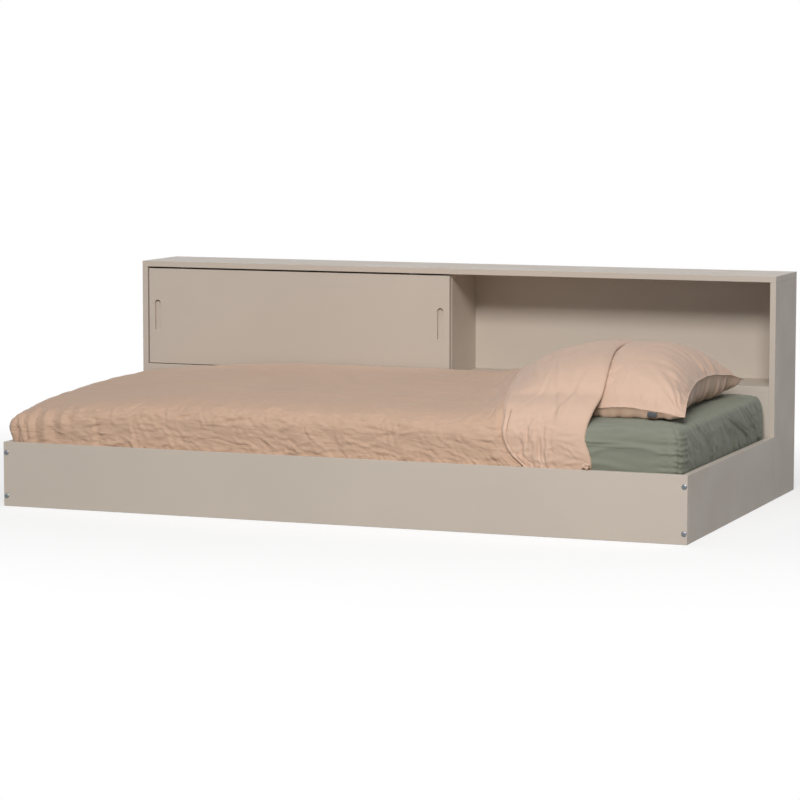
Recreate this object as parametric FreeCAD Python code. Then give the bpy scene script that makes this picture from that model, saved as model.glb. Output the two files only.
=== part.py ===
"""Storage daybed: a low single bed with a cabinet along its rear side, and its bedding.

Millimetres. X runs along the bed, Y from front to rear, Z up. The origin is at the middle of the
bed's footprint, on the floor. The open niche is at +X, the sliding door closes the half at -X.
"""

import FreeCAD, Part
import os
from math import sqrt

from FreeCAD import Vector

# Overall sizes
length = 2060.0
depth = 1180.0
height = 662.0
board = 18.0
front_height = 188.0
cabinet_depth = 250.0
shelf_top = 336.0

# Fits shared by several pieces
edge_ease = 0.8
fit_gap = 0.1
soft_gap = 0.3
bore_overrun = 1.0
overrun = 5.0
middle_share = 0.5
# Flats of hidden fasteners, of their bores and of the bolts' sockets
rod_flats = 6

# Back panel, let into grooves of the side panels and the top
back_thickness = 8.0
back_inset = 4.0
back_groove_depth = 6.0
back_groove_gap = 0.25

# Divider, shelf support and stretcher
divider_door_gap = 2.0
divider_dowel_shares = (0.3, 0.7)
support_dowel_shares = (0.15, 0.85)
stretcher_height = 80.0

# Sliding door. It laps the middle of the divider when closed.
door_lap = 7.6
door_face_setback = 3.0
door_bottom_gap = 2.0
door_top_gap = 5.2
door_side_gap = 3.6

# Finger pulls of the door
pull_width = 20.0
pull_height = 102.0
pull_depth = 10.0
pull_edge_distance = 30.0

# Glides under the door and guides on top of it, and the grooves that they run in
track_width = 6.0
shelf_track_depth = 6.0
top_track_depth = 8.0
glide_length = 40.0
glide_width = 5.0
glide_clearance = 0.3
guide_length = 30.0
guide_engagement = 5.0
stem_radius = 4.0
stem_length = 12.0
glide_edge_distance = 120.0

# Connector bolts and barrel nuts
bolt_radius = 3.0
bolt_bore_radius = 3.5
bolt_head_radius = 7.8
bolt_head_height = 2.6
bolt_rim_height = 0.9
bolt_crown_radius = 4.6
bolt_socket_across = 4.0
bolt_socket_depth = 1.8
bolt_past_nut = 8.0
bolt_from_floor = 29.4
bolt_from_top = 31.5
nut_radius = 5.0
nut_length = 13.0
nut_edge_distance = 34.0
nut_slot_width = 1.5
nut_slot_depth = 1.6

# Dowels
dowel_radius = 4.0
dowel_in_face = 9.0
dowel_in_edge = 22.0
end_board_dowel_shares = (0.2, 0.8)

# Cam locks and their pins
cam_radius = 7.5
cam_height = 12.4
cam_edge_distance = 34.0
cam_slot_width = 2.0
cam_slot_depth = 1.5
pin_radius = 3.2
pin_in_face = 11.0
cam_place_shares = (0.25, 0.75)

# Wood screws
screw_radius = 2.0
screw_head_radius = 3.9
screw_head_height = 2.2
bracket_screw_length = 13.0
ledger_screw_length = 38.0
back_screw_length = 30.0
ledger_screw_count = 4
back_screw_count = 5

# Corner brackets
bracket_leg = 40.0
bracket_height = 30.0
bracket_thickness = 2.0
bracket_bend_radius = 3.0
bracket_ledger_gap = 15.0
bracket_hole_shares = (0.4, 0.8)

# Slatted base
slat_count = 14
slat_width = 70.0
slat_thickness = 18.0
slat_below_board = 40.0
slat_end_gap = 4.0
slat_crown = 1.5
ledger_thickness = 25.0
ledger_height = 45.0
ledger_end_gap = 12.0
strap_width = 25.0
strap_thickness = 1.5
strap_inset = 60.0

# Mattress and fitted sheet
mattress_thickness = 166.0
mattress_end_gap = 12.0
mattress_front_gap = 11.0
mattress_rear_gap = 5.0
mattress_corner_radius = 55.0
sheet_thickness = 1.5
sheet_hem = 90.0
# Levels from the bottom up: share of the thickness, how far the sides are drawn in, and how far
# the foot end is, which the tucked duvet presses down
mattress_inset = 150.0
mattress_level_shares = [
    (0.0, 0.09, 0.09),
    (0.1, 0.0, 0.0),
    (0.7, 0.0, 0.0),
    (0.85, 0.07, 0.15),
    (0.935, 0.25, 0.6),
    (1.0, 0.9, 1.6),
]

# Pillow. Its length and its place are shares of the way from the front board to the cabinet.
pillow_width = 610.0
pillow_height = 170.0
pillow_head_gap = 39.0
pillow_length_share = 0.757
pillow_front_share = 0.123
pillow_seam = 3.0
# Stations from the front: share of the length, of the half width to the right and to the left,
# then of the height for the right seam, the crown and the underside
pillow_station_shares = [
    (0.0, 1.03, 0.6, 0.075, 0.13, 0.03),
    (0.04, 1.01, 0.63, 0.13, 0.42, 0.0),
    (0.13, 0.97, 0.69, 0.3, 0.68, 0.0),
    (0.28, 0.93, 0.77, 0.43, 0.88, 0.0),
    (0.45, 0.91, 0.83, 0.47, 0.98, 0.0),
    (0.62, 0.91, 0.88, 0.46, 1.0, 0.0),
    (0.78, 0.93, 0.92, 0.42, 0.93, 0.0),
    (0.9, 0.96, 0.95, 0.36, 0.76, 0.0),
    (0.97, 0.99, 0.97, 0.3, 0.53, 0.1),
    (1.0, 1.01, 0.98, 0.25, 0.32, 0.22),
]
# The left seam is pressed down under the duvet
pillow_left_seam_share = 0.7
# Points of a station: share of the half width, then of the way from seam to crown
edge_share = (1.0, 0.0)
pillow_right_mid_share = (0.89, 0.52)
pillow_right_shoulder_share = (0.7, 0.84)
pillow_crown_share = (0.2, 1.0)
pillow_left_shoulder_share = (0.62, 0.58)
# Points of its underside: share of the half width, then of the way from the sheet to the seam
pillow_rest_share = (0.86, 0.0)
pillow_under_mid_share = (0.97, 0.55)
at_seam_share = (1.0, 1.0)

# Blank tab in the pillow's front seam
tag_width = 26.0
tag_reach = 11.0
tag_thickness = 1.8
tag_place_share = 0.867
tag_height_share = 0.075

# Duvet, its end folded back over the pillow's left half
duvet_tuck = 26.0
duvet_rear_gap = 2.0
duvet_cuff = 11.0
duvet_least = 6.0
duvet_end_round = 40.0
duvet_end_drop = 55.0
duvet_lip_width = 34.0
duvet_lip_drop = 24.0
fold_height = 174.0
# Lines on the duvet at mid depth, from the pillow's middle towards the foot end, and their skew
crease_reach = 381.0
crease_skew_share = 0.22
cuff_reach = 326.0
cuff_skew_share = 0.27
# Slope from the duvet's left end up to its flat stretch, as a share of the pillow's width
duvet_slope_share = 0.75
# Middle points of the curves of a station: shares of the way along and of the way up
duvet_end_bow_shares = (0.22, 0.66)
fold_rise_bow_shares = (0.44, 0.68)
lip_bow_shares = (0.74, 0.28)
# Stations from the front: share of the depth between front board and cabinet, then heights
# above the sheet for the flat stretch, the left end, the cuff's foot and the fold, as shares of
# fold_height, then how far right of the pillow's middle the lip lies, as a share of its width
duvet_station_shares = [
    (0.0, -0.287, -0.425, -0.322, -0.322, 0.125),
    (0.004, -0.207, -0.345, -0.241, -0.23, 0.121),
    (0.0105, -0.155, -0.293, -0.144, -0.126, 0.118),
    (0.0205, -0.103, -0.241, -0.034, 0.0, 0.121),
    (0.037, -0.052, -0.19, 0.052, 0.098, 0.126),
    (0.062, -0.006, -0.144, 0.132, 0.201, 0.128),
    (0.1, 0.034, -0.103, 0.184, 0.293, 0.128),
    (0.135, 0.057, -0.08, 0.213, 0.379, 0.128),
    (0.167, 0.069, -0.069, 0.241, 0.563, 0.131),
    (0.222, 0.08, -0.057, 0.264, 0.759, 0.121),
    (0.298, 0.098, -0.04, 0.293, 0.891, 0.1),
    (0.43, 0.132, -0.011, 0.31, 0.977, 0.061),
    (0.573, 0.161, 0.009, 0.322, 1.0, 0.036),
    (0.716, 0.19, 0.029, 0.328, 0.96, 0.03),
    (0.836, 0.213, 0.043, 0.316, 0.782, 0.02),
    (0.9, 0.218, 0.04, 0.299, 0.563, 0.013),
    (0.95, 0.218, 0.032, 0.276, 0.362, 0.007),
    (1.0, 0.19, -0.006, 0.218, 0.241, 0.0),
]

# Places worked out from the sizes above
half_length = length / 2
half_board = board / 2
front_y = -depth / 2
rear_y = depth / 2
front_inner_y = front_y + board
cabinet_y = rear_y - cabinet_depth
side_inner_x = half_length - board
side_mid_x = half_length - half_board
top_bottom = height - board
shelf_bottom = shelf_top - board
back_rear_y = rear_y - back_inset
back_front_y = back_rear_y - back_thickness
door_front_y = cabinet_y + door_face_setback
door_mid_y = door_front_y + half_board
door_left_x = -side_inner_x + door_side_gap
door_right_x = door_lap
door_bottom = shelf_top + door_bottom_gap
door_top = top_bottom - door_top_gap
divider_front_y = door_front_y + board + divider_door_gap
lower_panel_rear_y = cabinet_y + board
stretcher_front_y = back_front_y - board
slat_top = front_height - slat_below_board
slat_bottom = slat_top - slat_thickness
ledger_bottom = slat_bottom - ledger_height
bracket_low_z = ledger_bottom - bracket_ledger_gap - bracket_height
mattress_length = 2 * (side_inner_x - mattress_end_gap)
mattress_width = cabinet_y - front_inner_y - mattress_rear_gap - mattress_front_gap
sheet_outside = sheet_thickness + soft_gap
mattress_bottom = slat_top + soft_gap + sheet_outside
mattress_top = mattress_bottom + mattress_thickness
sheet_top = mattress_top + sheet_outside
mattress_rear_y = cabinet_y - mattress_rear_gap
mattress_mid_y = mattress_rear_y - mattress_width / 2
pillow_center_x = side_inner_x - pillow_head_gap - pillow_width / 2
pillow_length = (cabinet_y - front_inner_y) * pillow_length_share
pillow_front_y = front_inner_y + (cabinet_y - front_inner_y) * pillow_front_share
tuck_bottom = front_height - duvet_tuck

X = Vector(1, 0, 0)
Y = Vector(0, 1, 0)
Z = Vector(0, 0, 1)


# Basic forms

def block(x0, x1, y0, y1, z0, z1):
    """A square-edged block between two corners."""
    return Part.makeBox(x1 - x0, y1 - y0, z1 - z0, Vector(x0, y0, z0))


def panel(x0, x1, y0, y1, z0, z1):
    """A board whose edges are all eased a little, as painted boards are."""
    blank = block(x0, x1, y0, y1, z0, z1)
    return blank.makeChamfer(edge_ease, blank.Edges)


def rod(radius, start, way, reach):
    """A rod with flats, from a point along a direction."""
    turn = 360 / rod_flats
    corners = [FreeCAD.Rotation(Z, turn * i).multVec(X * radius) for i in range(rod_flats)]
    solid = Part.Face(Part.makePolygon(corners + corners[:1])).extrude(Z * reach)
    solid.Placement = FreeCAD.Placement(start, FreeCAD.Rotation(Z, way))
    return solid


def arc(start, middle, end):
    """An edge through three points."""
    return Part.Arc(start, middle, end).toShape()


def line(start, end):
    """A straight edge."""
    return Part.LineSegment(start, end).toShape()


def slot(x0, x1, y, width, z0, z1):
    """An upright-walled form along X with round ends, such as a routed groove or a runner."""
    radius = width / 2
    left = Vector(x0 + radius, y, z0)
    right = Vector(x1 - radius, y, z0)
    aside = Y * radius
    outline = Part.Wire([
        line(left - aside, right - aside),
        arc(right - aside, right + X * radius, right + aside),
        line(right + aside, left + aside),
        arc(left + aside, left - X * radius, left - aside),
    ])
    return Part.Face(outline).extrude(Z * (z1 - z0))


def drill(piece, bores):
    """The piece with every bore or groove that reaches it taken out."""
    box = piece.BoundBox
    tools = [bore for bore in bores if box.intersect(bore.BoundBox)]
    return piece.cut(tools) if tools else piece


def spread(count, first, last):
    """Evenly spaced places, the first and the last included."""
    step = (last - first) / (count - 1)
    return [first + step * i for i in range(count)]


def between(first, last, share):
    """The place at a share of the way from first to last."""
    return first + (last - first) * share


# Fasteners: each function returns the piece and the bore it needs

def frame_bolt(x, z):
    """Domed connector bolt through the front board into its barrel nut."""
    face = Vector(x, front_y, z)
    outward = Y.negative()
    profile = [
        Vector(),
        X * bolt_head_radius,
        X * bolt_head_radius + Z * bolt_rim_height,
        X * bolt_crown_radius + Z * bolt_head_height,
        Z * bolt_head_height,
    ]
    head = Part.Face(Part.makePolygon(profile + profile[:1])).revolve(Vector(), Z, 360)
    socket_floor = Z * (bolt_head_height - bolt_socket_depth)
    head = head.cut(rod(bolt_socket_across / sqrt(3), socket_floor, Z, overrun))
    head.Placement = FreeCAD.Placement(face, FreeCAD.Rotation(Z, outward))
    reach = board + nut_edge_distance + bolt_past_nut
    shank = rod(bolt_radius, face, Y, reach)
    bore = rod(bolt_bore_radius, face, Y, reach + bore_overrun)
    return head.fuse(shank).removeSplitter(), bore


def barrel_nut(side, z):
    """Cross nut of a connector bolt, let into the end board from inside."""
    mouth = Vector(side * side_inner_x, front_inner_y + nut_edge_distance, z)
    outward = X * side
    sunk = half_board - nut_length / 2
    start = mouth + outward * sunk
    nut = rod(nut_radius, start, outward, nut_length)
    bolt_way_in = Vector(side * side_mid_x, front_inner_y, z)
    thread = rod(bolt_radius + fit_gap, bolt_way_in, Y, 2 * nut_edge_distance)
    half_slot = nut_slot_width / 2
    notch = block(-nut_slot_depth, nut_slot_depth, -nut_radius, nut_radius, -half_slot, half_slot)
    notch.translate(start)
    bore = rod(nut_radius + fit_gap, mouth, outward, sunk + nut_length + fit_gap)
    return nut.cut([thread, notch]), bore


def dowel(joint, into_edge):
    """Wood dowel across a joint, given the joint's point and the way into the board's edge."""
    start = joint - into_edge * dowel_in_face
    reach = dowel_in_face + dowel_in_edge
    bore = rod(dowel_radius + fit_gap, start - into_edge * fit_gap, into_edge, reach + bore_overrun)
    return rod(dowel_radius, start, into_edge, reach), bore


def cam_and_pin(joint, into_edge, housing_mouth):
    """Cam lock in a board's face and the pin that it draws, across a joint.

    joint is where the pin crosses the joint, into_edge points along the board that holds the
    cam, and housing_mouth points out of the face where the cam's screwdriver slot shows.
    """
    center = joint + into_edge * cam_edge_distance
    mouth = center + housing_mouth * half_board
    cam = rod(cam_radius, mouth, housing_mouth.negative(), cam_height)
    room = rod(pin_radius + fit_gap, center, into_edge.negative(), 2 * cam_radius)
    across = into_edge.cross(housing_mouth)
    wide = into_edge * cam_radius + across * (cam_slot_width / 2) + housing_mouth * cam_slot_depth
    notch = block(-abs(wide.x), abs(wide.x), -abs(wide.y), abs(wide.y), -abs(wide.z), abs(wide.z))
    notch.translate(mouth)
    pin = rod(pin_radius, joint - into_edge * pin_in_face, into_edge, pin_in_face + cam_edge_distance)
    housing = rod(cam_radius + fit_gap, mouth, housing_mouth.negative(), cam_height + fit_gap)
    pin_start = joint - into_edge * (pin_in_face + fit_gap)
    channel = rod(pin_radius + fit_gap, pin_start, into_edge, pin_in_face + cam_edge_distance)
    return cam.cut([room, notch]), pin, [housing, channel]


def screw(seat, way, reach):
    """Pan head wood screw whose head lies on a face, pointing into the wood."""
    head = rod(screw_head_radius, seat, way.negative(), screw_head_height)
    bore = rod(screw_radius + fit_gap, seat, way, reach + fit_gap)
    return head.fuse(rod(screw_radius, seat, way, reach)).removeSplitter(), bore


# Joinery of the boards

def all_bolts():
    """Four connector bolts, their nuts, and the bores of both."""
    bolts, nuts, bores = [], [], []
    for side in (-1, 1):
        for z in (bolt_from_floor, front_height - bolt_from_top):
            bolt, bolt_bore = frame_bolt(side * side_mid_x, z)
            nut, nut_bore = barrel_nut(side, z)
            bolts.append(bolt)
            nuts.append(nut)
            bores += [bolt_bore, nut_bore]
    return bolts, nuts, bores


def all_dowels():
    """Dowels at every board joint, and their bores."""
    joints = []
    for side in (-1, 1):
        inward = X * -side
        mid_x = side * side_mid_x
        joints.append((Vector(mid_x, front_inner_y, front_height / 2), Y))
        for share in end_board_dowel_shares:
            joints.append((Vector(mid_x, cabinet_y, front_height * share), Y.negative()))
        shelf_mid_y = between(cabinet_y, back_front_y, middle_share)
        joints.append((Vector(mid_x, shelf_mid_y, top_bottom), Z.negative()))
        joints.append((Vector(side * side_inner_x, shelf_mid_y, shelf_top - half_board), inward))
        lower_mid = Vector(side * side_inner_x, cabinet_y + half_board, shelf_bottom / 2)
        joints.append((lower_mid, inward))
    for share in divider_dowel_shares:
        divider_y = between(divider_front_y, back_front_y, share)
        joints.append((Vector(0, divider_y, shelf_top), Z))
        joints.append((Vector(0, divider_y, top_bottom), Z.negative()))
    for share in support_dowel_shares:
        support_y = between(lower_panel_rear_y, stretcher_front_y, share)
        joints.append((Vector(0, support_y, shelf_bottom), Z.negative()))
    pairs = [dowel(joint, way) for joint, way in joints]
    return [pin for pin, bore in pairs], [bore for pin, bore in pairs]


def all_cams():
    """Cam locks and pins of the shelf, top, lower front panel and stretcher, and their bores."""
    joints = []
    for side in (-1, 1):
        inward = X * -side
        wall = side * side_inner_x
        for share in cam_place_shares:
            place_y = between(cabinet_y, back_front_y, share)
            joints.append((Vector(wall, place_y, shelf_top - half_board), inward, Z.negative()))
            joints.append((Vector(side * side_mid_x, place_y, top_bottom), Z.negative(), inward))
            place_z = shelf_bottom * share
            joints.append((Vector(wall, cabinet_y + half_board, place_z), inward, Y))
        stretcher_mid = Vector(wall, stretcher_front_y + half_board, stretcher_height / 2)
        joints.append((stretcher_mid, inward, Y.negative()))
    cams, pins, bores = [], [], []
    for joint, into_edge, mouth in joints:
        cam, pin, room = cam_and_pin(joint, into_edge, mouth)
        cams.append(cam)
        pins.append(pin)
        bores += room
    return cams, pins, bores


def corner_bracket(side):
    """Steel angle that ties an end board to the lower front panel."""
    x0 = side_inner_x
    y0 = cabinet_y
    corners = [
        Vector(x0, y0 - bracket_leg, bracket_low_z),
        Vector(x0, y0, bracket_low_z),
        Vector(x0 - bracket_leg, y0, bracket_low_z),
        Vector(x0 - bracket_leg, y0 - bracket_thickness, bracket_low_z),
        Vector(x0 - bracket_thickness, y0 - bracket_thickness, bracket_low_z),
        Vector(x0 - bracket_thickness, y0 - bracket_leg, bracket_low_z),
    ]
    angle = Part.Face(Part.makePolygon(corners + corners[:1])).extrude(Z * bracket_height)
    inside = [edge for edge in angle.Edges
              if abs(edge.BoundBox.XMax - corners[4].x) < fit_gap
              and abs(edge.BoundBox.YMax - corners[4].y) < fit_gap
              and edge.BoundBox.ZLength > bracket_height / 2]
    angle = angle.makeFillet(bracket_bend_radius, inside)
    return angle if side > 0 else angle.mirror(Vector(), X)


def all_bracket_screws():
    """Two screws in each leg of both corner brackets, and their bores."""
    pairs = []
    hole_z = bracket_low_z + bracket_height / 2
    for side in (-1, 1):
        for share in bracket_hole_shares:
            along = bracket_leg * share
            end_seat = Vector(side * (side_inner_x - bracket_thickness), cabinet_y - along, hole_z)
            pairs.append(screw(end_seat, X * side, bracket_screw_length))
            panel_seat = Vector(side * (side_inner_x - along), cabinet_y - bracket_thickness, hole_z)
            pairs.append(screw(panel_seat, Y, bracket_screw_length))
    return [piece for piece, bore in pairs], [bore for piece, bore in pairs]


def all_ledger_screws():
    """Screws that hold both ledgers to the boards behind them, and their bores."""
    pairs = []
    reach = side_inner_x - ledger_end_gap - nut_edge_distance
    mid_z = ledger_bottom + ledger_height / 2
    for x in spread(ledger_screw_count, -reach, reach):
        front_seat = Vector(x, front_inner_y + ledger_thickness, mid_z)
        pairs.append(screw(front_seat, Y.negative(), ledger_screw_length))
        rear_seat = Vector(x, cabinet_y - ledger_thickness, mid_z)
        pairs.append(screw(rear_seat, Y, ledger_screw_length))
    return [piece for piece, bore in pairs], [bore for piece, bore in pairs]


def all_back_screws():
    """Screws through the back panel into the rear edge of the shelf, and their bores."""
    reach = side_inner_x - cam_edge_distance - 2 * cam_radius - screw_head_radius
    seats = [Vector(x, back_rear_y, shelf_top - half_board) for x in spread(back_screw_count, -reach, reach)]
    pairs = [screw(seat, Y.negative(), back_screw_length) for seat in seats]
    return [piece for piece, bore in pairs], [bore for piece, bore in pairs]


def track_grooves():
    """Routed grooves for the door, one in the shelf and one in the top, which stop its travel."""
    glide_reach = glide_edge_distance - glide_length / 2 - glide_clearance
    left_end = door_left_x + glide_reach
    shelf_bed = shelf_top - shelf_track_depth
    shelf_track = slot(left_end, -left_end, door_mid_y, track_width, shelf_bed, shelf_top + overrun)
    top_bed = top_bottom + top_track_depth
    top_track = slot(left_end, -left_end, door_mid_y, track_width, top_bottom - overrun, top_bed)
    return [shelf_track, top_track]


def back_grooves():
    """Grooves round the back panel in both side panels and the top."""
    y0 = back_front_y - back_groove_gap
    y1 = back_rear_y + back_groove_gap
    reach = side_inner_x + back_groove_depth
    bottom = shelf_bottom - back_groove_gap
    return [block(-reach, reach, y0, y1, bottom, top_bottom + back_groove_depth)]


# Boards

def front_board():
    """The long board in front, down to the floor."""
    return panel(-half_length, half_length, front_y, front_inner_y, 0, front_height)


def end_board(side):
    """The board at one end, from the front board to the cabinet's side panel."""
    x0, x1 = sorted((side * side_inner_x, side * half_length))
    return panel(x0, x1, front_inner_y, cabinet_y, 0, front_height)


def cabinet_side(side):
    """The cabinet's upright side panel, under the top."""
    x0, x1 = sorted((side * side_inner_x, side * half_length))
    return panel(x0, x1, cabinet_y, rear_y, 0, top_bottom)


def cabinet_top():
    """The top board, over both side panels."""
    return panel(-half_length, half_length, cabinet_y, rear_y, top_bottom, height)


def cabinet_shelf():
    """The shelf that both compartments stand on."""
    return panel(-side_inner_x, side_inner_x, cabinet_y, back_front_y, shelf_bottom, shelf_top)


def divider():
    """The upright between the closed compartment and the open niche, behind the door's path."""
    return panel(-half_board, half_board, divider_front_y, back_front_y, shelf_top, top_bottom)


def lower_front_panel():
    """The panel under the shelf's front edge, down to the floor."""
    return panel(-side_inner_x, side_inner_x, cabinet_y, lower_panel_rear_y, 0, shelf_bottom)


def shelf_support():
    """The upright under the middle of the shelf, between lower front panel and stretcher."""
    return panel(-half_board, half_board, lower_panel_rear_y, stretcher_front_y, 0, shelf_bottom)


def rear_stretcher():
    """The low rail at the rear, between the side panels."""
    return panel(-side_inner_x, side_inner_x, stretcher_front_y, back_front_y, 0, stretcher_height)


def back_panel():
    """The thin panel behind both compartments, held in grooves."""
    reach = side_inner_x + back_groove_depth - back_groove_gap
    rise = top_bottom + back_groove_depth - back_groove_gap
    return block(-reach, reach, back_front_y, back_rear_y, shelf_bottom, rise)


# Sliding door

def finger_pull(x):
    """Cutter of one upright finger pull with round ends, open at the door's face."""
    radius = pull_width / 2
    middle = between(door_bottom, door_top, middle_share)
    low = middle - pull_height / 2 + radius
    high = middle + pull_height / 2 - radius
    y = door_front_y - overrun
    corners = [
        Vector(x - radius, y, low),
        Vector(x + radius, y, low),
        Vector(x + radius, y, high),
        Vector(x - radius, y, high),
    ]
    outline = Part.Wire([
        arc(corners[0], Vector(x, y, low - radius), corners[1]),
        line(corners[1], corners[2]),
        arc(corners[2], Vector(x, y, high + radius), corners[3]),
        line(corners[3], corners[0]),
    ])
    return Part.Face(outline).extrude(Y * (pull_depth + overrun))


def sliding_door(bores):
    """The door panel with its two pulls and the bores of its glides and guides."""
    slab = panel(door_left_x, door_right_x, door_front_y, door_front_y + board, door_bottom, door_top)
    left_pull = finger_pull(door_left_x + pull_edge_distance)
    right_pull = finger_pull(door_right_x - pull_edge_distance)
    return drill(slab, [left_pull, right_pull] + bores)


def shoe(x, low, high, reach, end):
    """A runner with round ends on the door's edge, with a stem into the door."""
    runner = slot(x - reach / 2, x + reach / 2, door_mid_y, glide_width, low, high)
    root = high if end > 0 else low
    stem = rod(stem_radius, Vector(x, door_mid_y, root), Z * end, stem_length)
    room = rod(stem_radius + fit_gap, Vector(x, door_mid_y, root), Z * end, stem_length + fit_gap)
    return runner.fuse(stem).removeSplitter(), room


def door_glide(x):
    """Nylon glide under the door, in the shelf's groove."""
    low = shelf_top - shelf_track_depth + glide_clearance
    return shoe(x, low, door_bottom, glide_length, 1)


def door_guide(x):
    """Nylon guide on the door's top edge, in the groove of the cabinet's top."""
    return shoe(x, door_top, top_bottom + guide_engagement, guide_length, -1)


# Slatted base

def ledger(y0):
    """Rail that carries the ends of the slats."""
    reach = side_inner_x - ledger_end_gap
    return panel(-reach, reach, y0, y0 + ledger_thickness, ledger_bottom, slat_bottom)


def slat(index):
    """One slat across the bed, with a slightly crowned top."""
    pitch = mattress_length / slat_count
    x0 = -mattress_length / 2 + pitch * index + (pitch - slat_width) / 2
    y0 = front_inner_y + slat_end_gap
    side_top = slat_top - slat_crown
    right = Vector(x0 + slat_width, y0, side_top)
    left = Vector(x0, y0, side_top)
    outline = Part.Wire([
        line(Vector(x0, y0, slat_bottom), Vector(x0 + slat_width, y0, slat_bottom)),
        line(Vector(x0 + slat_width, y0, slat_bottom), right),
        arc(right, Vector(x0 + slat_width / 2, y0, slat_top), left),
        line(left, Vector(x0, y0, slat_bottom)),
    ])
    return Part.Face(outline).extrude(Y * (cabinet_y - slat_end_gap - y0))


def slat_strap(y0):
    """Webbing under the slats that keeps their spacing."""
    pitch = mattress_length / slat_count
    reach = mattress_length / 2 - (pitch - slat_width) / 2
    return block(-reach, reach, y0, y0 + strap_width, slat_bottom - strap_thickness, slat_bottom)


# Bedding

def rounded_outline(foot_x, head_x, half_y, radius, z):
    """A level outline of the mattress: four straight sides and four quarter arcs."""
    mid_y = mattress_mid_y
    bulge = radius * (1 - 1 / sqrt(2))
    y_in = half_y - radius
    edges = []
    corners = [(1, -1), (1, 1), (-1, 1), (-1, -1)]
    points = []
    for sx, sy in corners:
        end_x = head_x if sx > 0 else foot_x
        along_x = Vector(end_x - sx * radius, mid_y + sy * half_y, z)
        along_y = Vector(end_x, mid_y + sy * y_in, z)
        middle = Vector(end_x - sx * bulge, mid_y + sy * (half_y - bulge), z)
        first, last = (along_x, along_y) if sx * sy < 0 else (along_y, along_x)
        points.append((first, middle, last))
    for (first, middle, last), (after, _, _) in zip(points, points[1:] + points[:1]):
        edges.append(arc(first, middle, last))
        edges.append(line(last, after))
    return Part.Wire(edges)


def mattress_form(grow):
    """The mattress's crowned block with drawn-in edges, larger all round by grow."""
    wires = []
    for rise_share, inset_share, foot_share in mattress_level_shares:
        inset = mattress_inset * inset_share - grow
        z = between(mattress_bottom - grow, mattress_top + grow, rise_share)
        foot_x = -mattress_length / 2 + mattress_inset * foot_share - grow
        head_x = mattress_length / 2 - inset
        half_y = mattress_width / 2 - inset
        wires.append(rounded_outline(foot_x, head_x, half_y, mattress_corner_radius, z))
    return Part.makeLoft(wires, True, True)


def fitted_sheet():
    """Sheet stretched over the mattress, open underneath inside its hem."""
    hem_x = mattress_length / 2 - sheet_hem
    y0 = mattress_mid_y - mattress_width / 2 + sheet_hem
    y1 = mattress_mid_y + mattress_width / 2 - sheet_hem
    opening = block(-hem_x, hem_x, y0, y1, slat_top, mattress_bottom + overrun)
    return mattress_form(sheet_outside).cut([mattress_form(soft_gap), opening])


def pillow_form(grow):
    """The pillow, crowned and drawn in between its corners, larger all round by grow."""
    base = sheet_top + soft_gap
    wires = []
    for along, right_wide, left_wide, seam, crown, under in pillow_station_shares:
        y = between(pillow_front_y - grow, pillow_front_y + pillow_length + grow, along)
        crown_z = base + pillow_height * crown + grow
        under_z = base + pillow_height * under - grow
        half_seam = pillow_seam / 2 + grow
        halves = {1: pillow_width / 2 * right_wide + grow, -1: -pillow_width / 2 * left_wide - grow}
        left_seam = between(under, seam, pillow_left_seam_share)
        seams = {1: base + pillow_height * seam, -1: base + pillow_height * left_seam}

        def upper(side, share):
            x = pillow_center_x + halves[side] * share[0]
            return Vector(x, y, between(seams[side] + half_seam, crown_z, share[1]))

        def lower(side, share):
            x = pillow_center_x + halves[side] * share[0]
            return Vector(x, y, between(under_z, seams[side] - half_seam, share[1]))

        right_shoulder = upper(1, pillow_right_shoulder_share)
        left_shoulder = upper(-1, pillow_left_shoulder_share)
        wires.append(Part.Wire([
            line(lower(1, at_seam_share), upper(1, edge_share)),
            line(upper(1, edge_share), upper(1, pillow_right_mid_share)),
            line(upper(1, pillow_right_mid_share), right_shoulder),
            arc(right_shoulder, upper(1, pillow_crown_share), left_shoulder),
            line(left_shoulder, upper(-1, edge_share)),
            line(upper(-1, edge_share), lower(-1, at_seam_share)),
            line(lower(-1, at_seam_share), lower(-1, pillow_rest_share)),
            line(lower(-1, pillow_rest_share), lower(1, pillow_rest_share)),
            line(lower(1, pillow_rest_share), lower(1, pillow_under_mid_share)),
            line(lower(1, pillow_under_mid_share), lower(1, at_seam_share)),
        ]))
    return Part.makeLoft(wires, True, True)


def pillow_tag():
    """Blank tab in the pillow's front seam."""
    x0 = pillow_center_x + pillow_width * (tag_place_share - middle_share) - tag_width / 2
    y1 = pillow_front_y - soft_gap
    z0 = sheet_top + pillow_height * tag_height_share
    return block(x0, x0 + tag_width, y1 - tag_reach, y1, z0, z0 + tag_thickness)


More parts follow.
